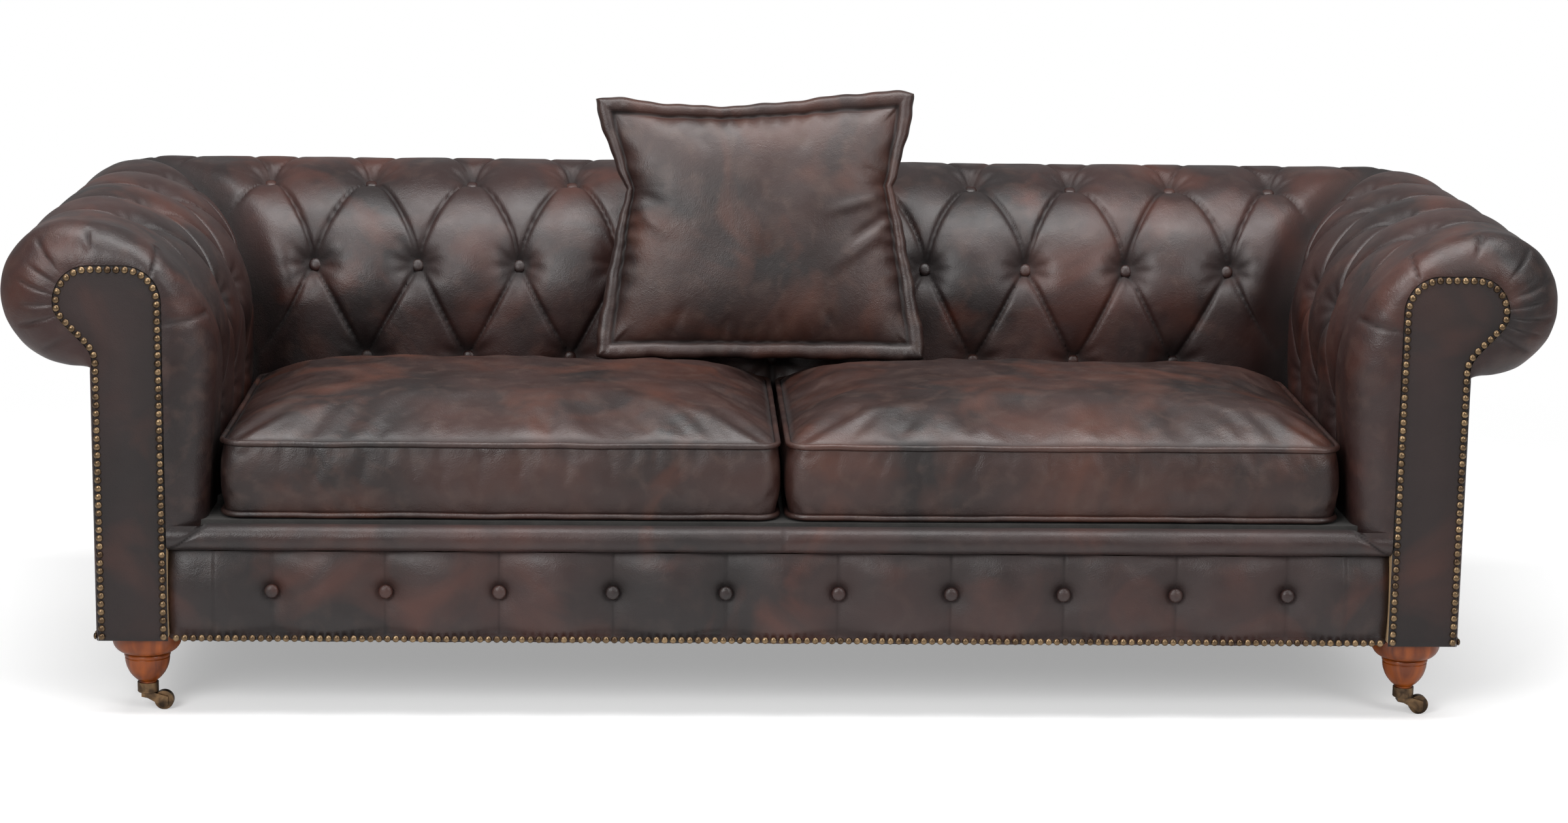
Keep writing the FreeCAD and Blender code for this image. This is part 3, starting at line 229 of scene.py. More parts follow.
class Finish:
    """A node material being put together."""

    def __init__(self, name, roughness, metallic=0.0):
        self.material = bpy.data.materials.new(name)
        self.material.use_nodes = True
        self.tree = self.material.node_tree
        self.shader = self.tree.nodes["Principled BSDF"]
        self.shader.inputs["Roughness"].default_value = roughness
        self.shader.inputs["Metallic"].default_value = metallic
        self.place = self.tree.nodes.new("ShaderNodeTexCoord").outputs["Object"]

    def node(self, kind, **settings):
        made = self.tree.nodes.new(kind)
        for key, value in settings.items():
            setattr(made, key, value)
        return made

    def link(self, start, end):
        self.tree.links.new(start, end)

    def stretched(self, scale):
        """The object's own coordinates, stretched by three numbers."""
        made = self.node("ShaderNodeMapping")
        made.inputs["Scale"].default_value = scale
        self.link(self.place, made.inputs["Vector"])
        return made.outputs["Vector"]

    def noise(self, scale, detail=3.0, distortion=0.0, place=None):
        made = self.node("ShaderNodeTexNoise")
        made.inputs["Scale"].default_value = scale
        made.inputs["Detail"].default_value = detail
        made.inputs["Distortion"].default_value = distortion
        self.link(place or self.place, made.inputs["Vector"])
        return made.outputs["Fac"]

    def cells(self, scale):
        made = self.node("ShaderNodeTexVoronoi")
        made.inputs["Scale"].default_value = scale
        self.link(self.place, made.inputs["Vector"])
        return made.outputs["Distance"]

    def ramp(self, factor, *stops):
        """Colours or greys at positions along a factor."""
        made = self.node("ShaderNodeValToRGB")
        line = made.color_ramp
        while len(line.elements) < len(stops):
            line.elements.new(0.5)
        for element, (position, colour) in zip(line.elements, stops):
            element.position = position
            grey = isinstance(colour, float)
            element.color = (colour, colour, colour, 1) if grey else (*colour, 1)
        self.link(factor, made.inputs["Fac"])
        return made.outputs["Color"]

    def mix(self, factor, start, end):
        """A colour between two, each of them a socket or a plain colour."""
        made = self.node("ShaderNodeMix", data_type="RGBA")
        self.link(factor, made.inputs["Factor"])
        for index, value in ((MIX_START, start), (MIX_END, end)):
            if isinstance(value, tuple):
                made.inputs[index].default_value = (*value, 1)
            else:
                self.link(value, made.inputs[index])
        return made.outputs[MIX_RESULT]

    def bump(self, height, distance, strength=1.0, below=None):
        made = self.node("ShaderNodeBump")
        made.inputs["Strength"].default_value = strength
        made.inputs["Distance"].default_value = distance
        self.link(height, made.inputs["Height"])
        if below is not None:
            self.link(below, made.inputs["Normal"])
        return made.outputs["Normal"]

    def set(self, socket, value):
        self.link(value, self.shader.inputs[socket])


def leather(name, dark, middle, rust, worn, rust_from):
    """Aged leather: mottled brown, soft rust patches, painted shade in the folds, worn tops and a fine grain."""
    made = Finish(name, 0.4)
    mottle = made.noise(4.0, 2.5, 0.5)
    base = made.ramp(mottle, (0.36, dark), (0.66, middle))
    patches = made.noise(6.5, 3.5, 0.8)
    patched = made.ramp(patches, (rust_from, 0.0), (rust_from + 0.28, 1.0))
    colour = made.mix(patched, base, rust)
    mark = made.node("ShaderNodeAttribute", attribute_name="shade_and_wear").outputs["Fac"]
    scuffs = made.ramp(made.noise(30.0, 6.0, 0.4), (0.50, 0.0), (0.80, 0.55))
    on_top = made.ramp(mark, (0.6, 0.0), (1.0, 1.0))
    colour = made.mix(made.mix(on_top, (0.0, 0.0, 0.0), scuffs), colour, worn)
    # Painted shade: the colour darkens towards near black where the mark is low, in folds, button pits, pleats,
    # seams and the valleys between parts.
    shade = made.ramp(mark, (0.0, 0.10), (0.5, 0.72), (1.0, 1.0))
    colour = made.mix(shade, (0.003, 0.002, 0.002), colour)
    made.set("Base Color", colour)
    polish = made.ramp(made.noise(18.0, 4.0), (0.3, 0.36), (0.7, 0.52))
    out_of_folds = made.ramp(mark, (0.35, 0.0), (0.85, 1.0))
    made.set("Roughness", made.mix(out_of_folds, (0.75, 0.75, 0.75), polish))
    fine = made.bump(made.cells(560.0), 0.0006, 0.30)
    creased = made.bump(made.noise(110.0, 6.0, 0.8), 0.0012, 0.35, fine)
    made.set("Normal", made.bump(made.noise(15.0, 1.0), 0.004, 0.12, creased))
    made.shader.inputs["Specular IOR Level"].default_value = 0.5
    return made.material


def brass(name, bright, dull, roughness):
    """Old brass, darker in patches and rougher there."""
    made = Finish(name, roughness, metallic=1.0)
    patches = made.noise(60.0, 4.0, 0.5)
    made.set("Base Color", made.ramp(patches, (0.35, dull), (0.7, bright)))
    made.set("Roughness", made.ramp(made.noise(140.0, 3.0), (0.3, roughness - 0.08), (0.7, roughness + 0.12)))
    made.set("Normal", made.bump(made.noise(400.0, 3.0), 0.0004, 0.3))
    return made.material


def wood(name, dark, light, roughness, coat=0.0):
    """Wood with its grain running upwards."""
    made = Finish(name, roughness)
    streaks = made.noise(26.0, 6.0, 1.4, made.stretched((1.0, 1.0, 0.16)))
    made.set("Base Color", made.ramp(streaks, (0.3, dark), (0.68, light)))
    made.set("Roughness", made.ramp(made.noise(50.0, 3.0), (0.3, roughness - 0.06), (0.7, roughness + 0.08)))
    made.set("Normal", made.bump(streaks, 0.0008, 0.2))
    made.shader.inputs["Coat Weight"].default_value = coat
    made.shader.inputs["Coat Roughness"].default_value = 0.12
    made.shader.inputs["Specular IOR Level"].default_value = 0.3
    return made.material


def cloth(name, light, dark, weave=900.0):
    """Plain woven cloth, or foam with fine pores."""
    made = Finish(name, 0.9)
    made.set("Base Color", made.ramp(made.noise(14.0, 5.0), (0.3, dark), (0.7, light)))
    made.set("Roughness", made.ramp(made.noise(70.0, 2.0), (0.3, 0.82), (0.7, 0.96)))
    made.set("Normal", made.bump(made.cells(weave), 0.0006, 0.4))
    return made.material


LEATHER = leather(
    "dark_leather",
    dark=(0.0070, 0.0028, 0.0026),
    middle=(0.027, 0.0093, 0.0076),
    rust=(0.060, 0.0165, 0.0095),
    worn=(0.055, 0.029, 0.022),
    rust_from=0.50,
)
CUSHION_LEATHER = leather(
    "cushion_leather",
    dark=(0.0075, 0.0034, 0.0030),
    middle=(0.031, 0.0122, 0.0094),
    rust=(0.062, 0.0200, 0.0115),
    worn=(0.062, 0.036, 0.028),
    rust_from=0.48,
)
NAIL_BRASS = brass("nail_brass", (0.27, 0.185, 0.105), (0.07, 0.045, 0.028), 0.34)
CASTER_BRASS = brass("caster_brass_finish", (0.24, 0.15, 0.08), (0.05, 0.035, 0.025), 0.42)
STEEL = brass("steel_finish", (0.42, 0.42, 0.42), (0.25, 0.24, 0.23), 0.4)
TURNED = wood("polished_wood", (0.070, 0.012, 0.0015), (0.27, 0.060, 0.005), 0.34, 0.15)
TIMBER = wood("frame_timber", (0.30, 0.19, 0.10), (0.48, 0.34, 0.20), 0.7)
LINING = cloth("lining", (0.030, 0.028, 0.026), (0.015, 0.014, 0.013))
FOAM = cloth("foam_finish", (0.55, 0.50, 0.38), (0.45, 0.40, 0.30), 400.0)

SLOT_FINISH = {
    "timber": TIMBER,
    "leather": LEATHER,
    "cushion_leather": CUSHION_LEATHER,
    "foam": FOAM,
    "lining_cloth": LINING,
    "spring_steel": STEEL,
    "antique_brass": NAIL_BRASS,
    "turned_wood": TURNED,
    "caster_brass": CASTER_BRASS,
}


# Tufting


def rows_passed(along, beyond):
    """0 at the lower row of buttons, 1 at the middle, 2 at the top and beyond over the crest."""
    first = np.clip((along - LOWER_ROW) / (MIDDLE_ROW - LOWER_ROW), 0, 1)
    second = np.clip((along - MIDDLE_ROW) / (TOP_ROW - MIDDLE_ROW), 0, 1) ** 1.5
    over = smooth(along, TOP_ROW, TOP_ROW + 0.10)
    return first + second + beyond * over


def puff(place, reach):
    """Height of a stuffed cell across one family of folds: 0 at the folds, 1 at a reach from them."""
    part = np.clip(np.abs(place - np.round(place)) * 2 / reach, 0, 1)
    return np.sqrt(np.clip(1 - (1 - part) ** 2, 0, 1))


def button_pit(sideways, upwards, spin):
    """Nearness to a button, from 0 to 1, and the small folds gathered round it."""
    away = np.hypot(sideways, upwards)
    turn = np.arctan2(upwards, sideways)
    near = np.exp(-((np.clip(away - PIT_FLOOR, 0, None) / PIT_REACH) ** 1.25))
    gather = np.cos(GATHER_FOLDS * turn + spin) * np.exp(-(((away - GATHER_AT) / GATHER_REACH) ** 2))
    return near, gather


def tufting(cell, along, pitch, beyond, smoothed, deepest, buttons):
    """Height over the section and the mark for painted shade and wear, by cell number and distance up the
    section.

    Past the top row the folds drift by beyond and fade by smoothed, and none is deeper than deepest.
    """
    uneven = 0.030 * ripple(cell * pitch, along, 0.31, 0.7)
    lift = rows_passed(along, beyond)
    up, down = cell + uneven + lift / 2, cell + uneven - lift / 2
    stuffed = puff(up, 1.0) * puff(down, 1.0)
    drawn = puff(up, 0.13) * puff(down, 0.13)
    line = puff(up, 0.07) * puff(down, 0.07)
    over = smoothed * smooth(along, TOP_ROW + 0.01, CREST)
    fading = 1 - 0.68 * over - 0.30 * (1 - smooth(along, 0.02, LOWER_ROW))
    broad = 0.50 * (1 - 0.6 * over)
    rounded = broad * stuffed + (1 - broad) * drawn
    depth = deepest * fading
    height = -depth + (depth + PUFF_RISE * (1 - 0.6 * over)) * rounded
    # Painted shade: the mark is lowest along the folds and lower away from the middle of each puff.
    mark = (0.35 + 0.65 * line) * (0.75 + 0.25 * stuffed)
    for button_cell, button_along in buttons:
        near, gather = button_pit((cell - button_cell) * pitch, along - button_along, 3 * button_cell)
        height = height - (PIT_DEPTH - deepest) * near + GATHER_HEIGHT * gather
        # Painted shade in the pit round each button.
        mark = mark * (1 - 0.62 * near)
    height = height + 0.0012 * ripple(cell * pitch, along, 0.11, 2.0)
    return height, np.clip(mark, 0, 1)


def closed_off(height, mark, from_mitre, along):
    """Height and mark with the valley between arm and back, and flat where the roll ends."""
    in_valley = np.exp(-((from_mitre / 0.030) ** 2))
    depth = 0.026 - 0.020 * smooth(along, 0.40, 0.58)
    height = height * (1 - in_valley) - depth * in_valley
    height = height * (1 - smooth(along, ROLL_END - 0.04, ROLL_END))
    # Painted shade: the mark darkens the leather in the valley between arm and back.
    return height, mark * (1 - 0.8 * in_valley)


def back_buttons():
    """Cell and height along the section of every button of the back."""
    rows = ((9, LOWER_ROW), (10, MIDDLE_ROW), (11, TOP_ROW))
    return [(i - (count - 1) / 2, along) for count, along in rows for i in range(count)]


def arm_buttons():
    """Cell and height along the section of every button of an arm."""
    rows = ((3, 0.0, LOWER_ROW), (3, 0.5, MIDDLE_ROW), (4, 0.0, TOP_ROW))
    return [(i + start, along) for count, start, along in rows for i in range(count)]


def back_point(x, along, height):
    """Point of the back over the section."""
    across, up, turn = section(along)
    y = across - ARM_TO_BACK - height * np.cos(turn)
    return np.stack(np.broadcast_arrays(x, y, up + height * np.sin(turn)), -1)


def arm_point(side, y, along, height):
    """Point of an arm over the section."""
    across, up, turn = section(along)
    x = side * (across - height * np.cos(turn))
    return np.stack(np.broadcast_arrays(x, y, up + height * np.sin(turn)), -1)


def tufted_back():
    """Padding and leather of the inside back, from the seat over the crest to the outside panel."""
    along = np.linspace(0, ROLL_END, int(ROLL_END / GRID))[:, None]
    share = np.linspace(-1, 1, int(2.2 / GRID))[None, :]
    across, _, _ = section(along)
    x = share * across
    height, mark = tufting(x / BACK_PITCH, along, BACK_PITCH, 0.44, 1.0, BACK_FOLD, back_buttons())
    height, mark = closed_off(height, mark, across - np.abs(x), along)
    points = back_point(x, along, height)
    moved = points[..., 1] + ARM_TO_BACK - across
    points[..., 0] += np.sign(share) * np.abs(share) ** MITRE_POWER * moved
    made = piece("tufted_back", points, grid_faces(*x.shape), "sofa", LEATHER, mark)
    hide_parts("inside_back_cover", "back_padding")


def facing_edge(up):
    """Inner and outer edge of an arm's facing at a height."""
    rounding = 0.056
    rise = np.clip(up - (FACING_TOP - rounding), 0, rounding)
    inward = rounding - np.sqrt(np.clip(rounding**2 - rise**2, 0, None))
    inner = 0.949 + inward
    outer = 1.056 + 0.057 * smooth(up, 0.565, 0.650) - inward
    return inner, outer


def facing_outline():
    """Points of the facing's edge: up the inner side, over the head and down the outer side."""
    rise = np.linspace(0, 1, 160)
    up = LEATHER_FOOT + (FACING_TOP - LEATHER_FOOT) * (1 - (1 - rise) ** 2)
    inner, outer = facing_edge(up)
    rising = np.stack([inner, up], -1)
    falling = np.stack([outer, up], -1)[::-1]
    return np.concatenate([rising, falling])


def evenly(path, pitch):
    """Points of a path, evenly spaced."""
    steps = np.linalg.norm(np.diff(path, axis=0), axis=1)
    passed = np.concatenate([[0], np.cumsum(steps)])
    wanted = np.linspace(0, passed[-1], max(2, int(round(passed[-1] / pitch)) + 1))
    return np.stack([np.interp(wanted, passed, path[:, k]) for k in range(path.shape[1])], -1)


def ring_inner(along):
    """The nearest point of the facing's edge for each point of the section."""
    outline = evenly(facing_outline(), 0.0008)
    outline = outline[outline[:, 1] > 0.255]
    across, up, _ = section(along)
    apart = np.hypot(outline[None, :, 0] - across[:, None], outline[None, :, 1] - up[:, None])
    nearest = np.maximum.accumulate(np.argmin(apart, axis=1)).astype(float)
    window = 15
    padded = np.pad(nearest, window, mode="edge")
    nearest = np.convolve(padded, np.ones(2 * window + 1) / (2 * window + 1), "valid")
    index = np.arange(len(outline))
    return np.stack([np.interp(nearest, index, outline[:, k]) for k in range(2)], -1)


def wrap_surface(side, along):
    """Points and marks of the tufted leather, from the front of the arm to the mitre."""
    across, _, _ = section(along)
    mitre = across - ARM_TO_BACK
    share = np.linspace(0, 1, int(0.80 / GRID))[None, :]
    y = ARM_FRONT + share * (mitre - ARM_FRONT)
    cell = (y - ARM_FIRST) / ARM_PITCH
    height, mark = tufting(cell, along, ARM_PITCH, 0.0, 0.15, ARM_FOLD, arm_buttons())
    tufted = smooth(y, -0.365, -0.295)
    height, mark = height * tufted, mark * tufted + (1 - tufted)
    height, mark = closed_off(height, mark, mitre - y, along)
    points = arm_point(side, y, along, height)
    points[..., 1] += share**MITRE_POWER * (np.abs(points[..., 0]) - across)
    return points, mark


def ring_surface(side, along, start):
    """Points and marks of the padded ring, from the facing's edge to the start of the wrap."""
    _, _, turn = section(along)
    part = np.linspace(1, 0, int(0.10 / GRID), endpoint=False)[None, :]
    slope = part * math.pi / 2
    inward = 1 - np.cos(slope)
    inner = ring_inner(along[:, 0])
    height, mark = ring_pleats(side, along, part)
    start_across, start_up = np.abs(start[..., 0]), start[..., 2]
    across = start_across + (inner[:, :1] - start_across) * inward
    up = start_up + (inner[:, 1:] - start_up) * inward
    across = across - height * np.cos(slope) * np.cos(turn)
    up = up + height * np.cos(slope) * np.sin(turn)
    y = ARM_FRONT - RING_REACH * np.sin(slope) - height * np.sin(slope)
    return np.stack([side * across, y, up], -1), mark


def arm_wrap(name, side):
    """Leather of an arm: the padded ring round its front and the tufted wrap to the mitre."""
    along = np.linspace(COLUMN_FOOT, ROLL_END, int((ROLL_END - COLUMN_FOOT) / GRID))[:, None]
    wrap, wrap_mark = wrap_surface(side, along)
    ring, ring_mark = ring_surface(side, along, wrap[:, :1])
    points = np.concatenate([ring, wrap], axis=1)
    marks = np.concatenate([ring_mark, wrap_mark], axis=1)
    faces = grid_faces(points.shape[0], points.shape[1], flip=side > 0)
    made = piece(f"{name}_arm_wrap", points, faces, "sofa", LEATHER, marks)
    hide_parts(f"{name}_inside_arm_cover", f"{name}_arm_padding", f"{name}_arm_front_pad")


# Reach of the front ring, its length round the bend, and the width of its pleats
RING_REACH, RING_LENGTH, PLEAT_WIDTH = 0.058, 0.09, 0.014

# Pleats of the front ring: (section start, ring start, section end, ring end, depth)
PLEATS = {
    "left": (
        (0.558, 0.34, 0.560, 0.80, 0.005),
        (0.450, 0.00, 0.425, 1.00, 0.006),
        (0.323, 0.00, 0.313, 1.00, 0.004),
        (0.645, 0.35, 0.655, 0.90, 0.005),
        (0.690, 0.60, 0.694, 1.00, 0.003),
        (0.726, 0.55, 0.739, 1.00, 0.004),
        (0.775, 0.62, 0.782, 1.00, 0.003),
        (0.816, 0.49, 0.826, 1.00, 0.004),
        (0.874, 0.44, 0.874, 0.95, 0.004),
    ),
    "right": (
        (0.571, 0.15, 0.558, 0.75, 0.005),
        (0.455, 0.00, 0.438, 1.00, 0.006),
        (0.329, 0.00, 0.316, 1.00, 0.004),
        (0.650, 0.19, 0.658, 0.85, 0.005),
        (0.713, 0.29, 0.716, 0.85, 0.004),
        (0.745, 0.50, 0.752, 1.00, 0.003),
        (0.780, 0.40, 0.790, 1.00, 0.004),
        (0.815, 0.50, 0.822, 1.00, 0.003),
        (0.850, 0.40, 0.852, 1.00, 0.004),
    ),
}


def ring_pleats(side, along, part):
    """Height and mark of the gathered leather on the arm's front ring."""
    name = "left" if side < 0 else "right"
    height = 0.0012 * ripple(along, part * 0.08, 0.06, 1.0 + side)
    mark = np.ones_like(height)
    for start, start_part, end, end_part, depth in PLEATS[name]:
        run, rise = end - start, (end_part - start_part) * RING_LENGTH
        length = math.hypot(run, rise)
        ahead, aside = along - start, (part - start_part) * RING_LENGTH
        from_start = (ahead * run + aside * rise) / length
        offset = (ahead * rise - aside * run) / length
        ends = smooth(from_start, -0.012, 0.012) * (1 - smooth(from_start, length - 0.02, length + 0.01))
        cut = crease(offset, PLEAT_WIDTH) * ends
        height = height - depth * cut
        # Painted shade along each pleat.
        mark = mark * (1 - 0.8 * cut)
    return height, np.clip(mark, 0, 1)


# Profile of a covered button, from its rim to its middle, and its height over the floor of the pit
BUTTON_PROFILE = (
    (0.0105, -0.0040),
    (0.0112, 0.0000),
    (0.0108, 0.0022),
    (0.0090, 0.0042),
    (0.0060, 0.0056),
    (0.0028, 0.0062),
)
BUTTON_SIDES = 24
BUTTON_LIFT = 0.005


def surface_buttons():
    """Covered buttons in the pits of the back and the arms."""
    depth = np.array(BUTTON_LIFT - PIT_DEPTH)
    places = []
    for cell, along in back_buttons():
        _, _, turn = section(along)
        point = back_point(np.array(cell * BACK_PITCH), np.array(along), depth)
        places.append((point, (0, -math.cos(turn), math.sin(turn))))
    made = cap_piece("back_tuft_buttons", places, BUTTON_PROFILE, BUTTON_SIDES, LEATHER)
    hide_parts("back_buttons")
    places = []
    for _, side in SIDES:
        for cell, along in arm_buttons():
            _, _, turn = section(along)
            point = arm_point(side, np.array(cell * ARM_PITCH + ARM_FIRST), np.array(along), depth)
            places.append((point, (-side * math.cos(turn), 0, math.sin(turn))))
    made = cap_piece("arm_tuft_buttons", places, BUTTON_PROFILE, BUTTON_SIDES, LEATHER)
    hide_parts("arm_buttons")


# Fronts of the arms

FACING_FRONT = -0.4708


def facing(name, side):
    """Leather over the scroll board, soft towards its edges."""
    up = np.linspace(LEATHER_FOOT, 0.7115, int(0.587 / GRID))
    inner, outer = facing_edge(up)
    share = np.linspace(0, 1, 32)[None, :]
    across = inner[:, None] + share * (outer - inner)[:, None]
    from_side = np.minimum(across - inner[:, None], outer[:, None] - across)
    from_end = np.minimum(FACING_TOP - up, up - LEATHER_FOOT)[:, None]
    edge = (1 - np.exp(-from_side / 0.006)) * (1 - np.exp(-from_end / 0.006))
    belly = (1 - np.exp(-((from_side / 0.030) ** 2))) * (1 - np.exp(-((from_end / 0.040) ** 2)))
    swell = 0.62 * edge + 0.38 * belly
    unevenness = 0.0006 * ripple(across, up[:, None], 0.05, 3.0 + side)
    y = -0.4655 - 0.0100 * swell - unevenness * swell
    points = np.stack([side * across, y, np.broadcast_to(up[:, None], across.shape)], -1)
    faces = grid_faces(*across.shape, flip=side < 0)
    # The low mark lets the leather's shade ramp darken the whole facing, most of all along its edges: painted
    # shade in the groove by the nails.
    made = piece(f"{name}_facing", points, faces, "sofa", LEATHER, 0.08 + 0.32 * swell)
    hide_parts(f"{name}_scroll_facing")


# Profile of a domed nail, their sides, their pitch, their inset from the facing's edge and the base row's height
NAIL_PROFILE = ((0.0056, 0.0), (0.0054, 0.0014), (0.0045, 0.0028), (0.0028, 0.0037), (0.0010, 0.0040))
NAIL_SIDES, NAIL_PITCH, NAIL_INSET, NAIL_ROW_UP = 12, 0.013, 0.0062, 0.131


def facing_nails():
    """Domed nails along the edges of the facings."""
    outline = evenly(facing_outline(), 0.002)
    ahead = np.gradient(outline, axis=0)
    ahead /= np.linalg.norm(ahead, axis=1)[:, None]
    line = outline + NAIL_INSET * np.stack([ahead[:, 1], -ahead[:, 0]], -1)
    line = evenly(line[line[:, 1] > NAIL_ROW_UP], NAIL_PITCH)
    places = []
    for _, side in SIDES:
        for across, up in line:
            places.append(((side * across, FACING_FRONT + 0.0004, up), (0, -1, 0)))
    made = cap_piece("facing_nail_row", places, NAIL_PROFILE, NAIL_SIDES, NAIL_BRASS)
    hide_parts("facing_nails")


def base_nails():
    """Domed nails along the foot of the front, the back and both sides."""
    places = []
    for x in np.arange(-72, 73) * NAIL_PITCH:
        places.append(((x, -0.4684, NAIL_ROW_UP), (0, -1, 0)))
    for x in np.arange(-81, 82) * NAIL_PITCH:
        places.append(((x, 0.3354, NAIL_ROW_UP), (0, 1, 0)))
    for _, side in SIDES:
        for y in np.arange(-0.458, 0.330, NAIL_PITCH):
            places.append(((side * 1.0604, y, NAIL_ROW_UP), (side, 0, 0)))
    made = cap_piece("base_nail_row", places, NAIL_PROFILE, NAIL_SIDES, NAIL_BRASS)
    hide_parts("base_nails")


# Base and outside panels

RAIL_BUTTONS, RAIL_PITCH, RAIL_BUTTON_UP = 10, 0.1755, 0.203


def front_rail_cover():
    """Padded front of the base with a seam and a dimple at each button."""
    x = np.linspace(-FRONT_HALF, FRONT_HALF, int(1.9 / GRID))[None, :]
    up = np.linspace(LEATHER_FOOT, 0.2665, int(0.30 / GRID))[:, None]
    cell = x / RAIL_PITCH + 0.5
    from_seam = (cell - np.round(cell)) * RAIL_PITCH
    inside = (np.abs(x) < RAIL_BUTTONS / 2 * RAIL_PITCH).astype(float)
    away = np.hypot(from_seam, up - RAIL_BUTTON_UP)
    above, below = 0.267 - up, up - 0.137
    edges = np.exp(-above / 0.028) * 0.016 + np.exp(-np.clip(below, 0, None) / 0.022) * 0.008
    ends = 0.012 * np.exp(-(0.9485 - np.abs(x)) / 0.012)
    seam = np.exp(-((from_seam / 0.0022) ** 2)) * inside
    dimple = np.exp(-((away / 0.030) ** 1.2)) * inside
    wide = np.exp(-np.abs(from_seam / 0.026)) * inside
    swell = 0.004 * np.cos(2 * math.pi * cell)
    y = -0.4690 + edges + ends + 0.0015 * seam + 0.016 * dimple + 0.0045 * wide + swell * inside
    y = y + 0.0010 * ripple(x, up, 0.07, 4.0)
    # Painted shade in the seams and dimples, and along the top edge under the border.
    mark = 0.85 - 0.45 * np.clip(seam + dimple, 0, 1) - 0.4 * np.exp(-above / 0.006)
    points = np.stack(np.broadcast_arrays(x, y, up), -1)
    faces = grid_faces(up.shape[0], x.shape[1])
    made = piece("front_rail_leather", points, faces, "sofa", LEATHER, np.clip(mark, 0, 1))
    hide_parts("front_rail_cover")


def rail_buttons():
    """Covered buttons in the dimples of the front."""
    places = []
    for i in range(RAIL_BUTTONS):
        x = (i - (RAIL_BUTTONS - 1) / 2) * RAIL_PITCH
        places.append(((x, -0.4555, RAIL_BUTTON_UP), (0, -1, 0)))
    made = cap_piece("rail_tuft_buttons", places, BUTTON_PROFILE, BUTTON_SIDES, LEATHER)
    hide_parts("front_rail_buttons")


def border():
    """Rounded border under the cushions, with a seam in the middle and slanting seams at its ends."""
    x = np.linspace(-FRONT_HALF, FRONT_HALF, int(1.9 / GRID))[None, :]
    turn = np.linspace(-0.5, 0.5, 22)[:, None] * math.pi
    up = 0.2875 + 0.0205 * np.sin(turn) * (1 + 0 * x)
    slant = np.abs(x) - 0.888 - (0.308 - up) * 1.45
    beyond = smooth(slant, 0.0, 0.012) * (turn > 0)
    front = np.maximum(np.cos(turn) ** 0.7, 0.9 * beyond)
    seam = np.exp(-((x / 0.0020) ** 2)) + np.exp(-((slant / 0.0034) ** 2))
    y = -0.446 - 0.0245 * front + 0.004 * seam * front
    y = y - 0.0008 * ripple(x, up * 3, 0.09, 6.0) * front
    # Painted shade in the seams, and on the roll's top and bottom where it turns away from the front.
    mark = (1 - 0.8 * np.clip(seam, 0, 1)) * (0.25 + 0.65 * front)
    points = np.stack(np.broadcast_arrays(x, y, up), -1)
    faces = grid_faces(turn.shape[0], x.shape[1])
    made = piece("border_leather", points, faces, "sofa", LEATHER, np.clip(mark, 0, 1))
    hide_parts("front_border")


def panel_swell(from_ends, up):
    """How full the leather of a flat panel is: 0 at its edges and 1 inside."""
    inside = np.minimum(from_ends, np.minimum(up - LEATHER_FOOT, PANEL_TOP - up))
    return 1 - np.exp(-np.clip(inside, 0, None) / 0.05)


def outside_panel(name, side):
    """Leather over the flat outer side of an arm, rolled round its front edge."""
    y = np.linspace(PANEL_FRONT, PANEL_BACK, int(0.80 / GRID))[None, :]
    up = np.linspace(LEATHER_FOOT, PANEL_TOP, int(0.43 / GRID))[:, None]
    from_front = y - PANEL_FRONT
    edge = np.exp(-from_front / 0.004)
    swell = panel_swell(np.minimum(from_front, PANEL_BACK - y), up)
    across = 1.0602 + 0.0022 * swell - 0.004 * edge + 0.0009 * ripple(y, up, 0.16, 8.0 + side) * swell
    points = np.stack(np.broadcast_arrays(side * across, y, up), -1)
    faces = grid_faces(up.shape[0], y.shape[1], flip=side < 0)
    # Painted shade: the mark darkens the leather towards the panel's edges.
    made = piece(f"{name}_side_leather", points, faces, "sofa", LEATHER, 0.6 + 0.4 * swell)
    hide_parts(f"{name}_outside_panel")


def back_panel():
    """Leather over the flat back."""
    x = np.linspace(-PANEL_HALF, PANEL_HALF, int(2.1 / GRID))[None, :]
    up = np.linspace(LEATHER_FOOT, PANEL_TOP, int(0.43 / GRID))[:, None]
    swell = panel_swell(PANEL_HALF - np.abs(x), up)
    y = 0.3352 + 0.0022 * swell + 0.0009 * ripple(x, up, 0.18, 9.0) * swell
    points = np.stack(np.broadcast_arrays(x, y, up), -1)
    faces = grid_faces(up.shape[0], x.shape[1], flip=True)
    # Painted shade: the mark darkens the leather towards the panel's edges.
    made = piece("back_panel_leather", points, faces, "sofa", LEATHER, 0.6 + 0.4 * swell)
    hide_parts("back_outside_panel")


# Loose cushions and pillow

# Seat cushion: inner and outer side, front and back, height of both rounds of piping, crown and corners
CUSHION_X = (0.011, 0.865)
CUSHION_Y = (-0.431, 0.141)
SEAM_UP = (0.319, 0.431)
CROWN, CORNER = 0.052, 0.030
CUSHION_GRID, CORD_RADIUS = 0.0085, 0.0046

# Steps of the cloth simulation of the cushion's leather, and the furthest that it moves a point
SETTLING_FRAMES, SETTLING_REACH = 18, 0.012


def rounded_rectangle(half_x, half_y, corner, count):
    """Evenly spaced points of a rounded rectangle round the origin."""
    turn = np.linspace(0, 2 * math.pi, 400, endpoint=False)
    quarter = np.floor(turn / (math.pi / 2)).astype(int)
    sign_x = np.array([1, -1, -1, 1])[quarter]
    sign_y = np.array([1, 1, -1, -1])[quarter]
    x = sign_x * (half_x - corner) + corner * np.cos(turn)
    y = sign_y * (half_y - corner) + corner * np.sin(turn)
    loop = np.stack([x, y], -1)
    loop = np.concatenate([loop, loop[:1]])
    return evenly(loop, np.linalg.norm(np.diff(loop, axis=0), axis=1).sum() / count)[:-1]


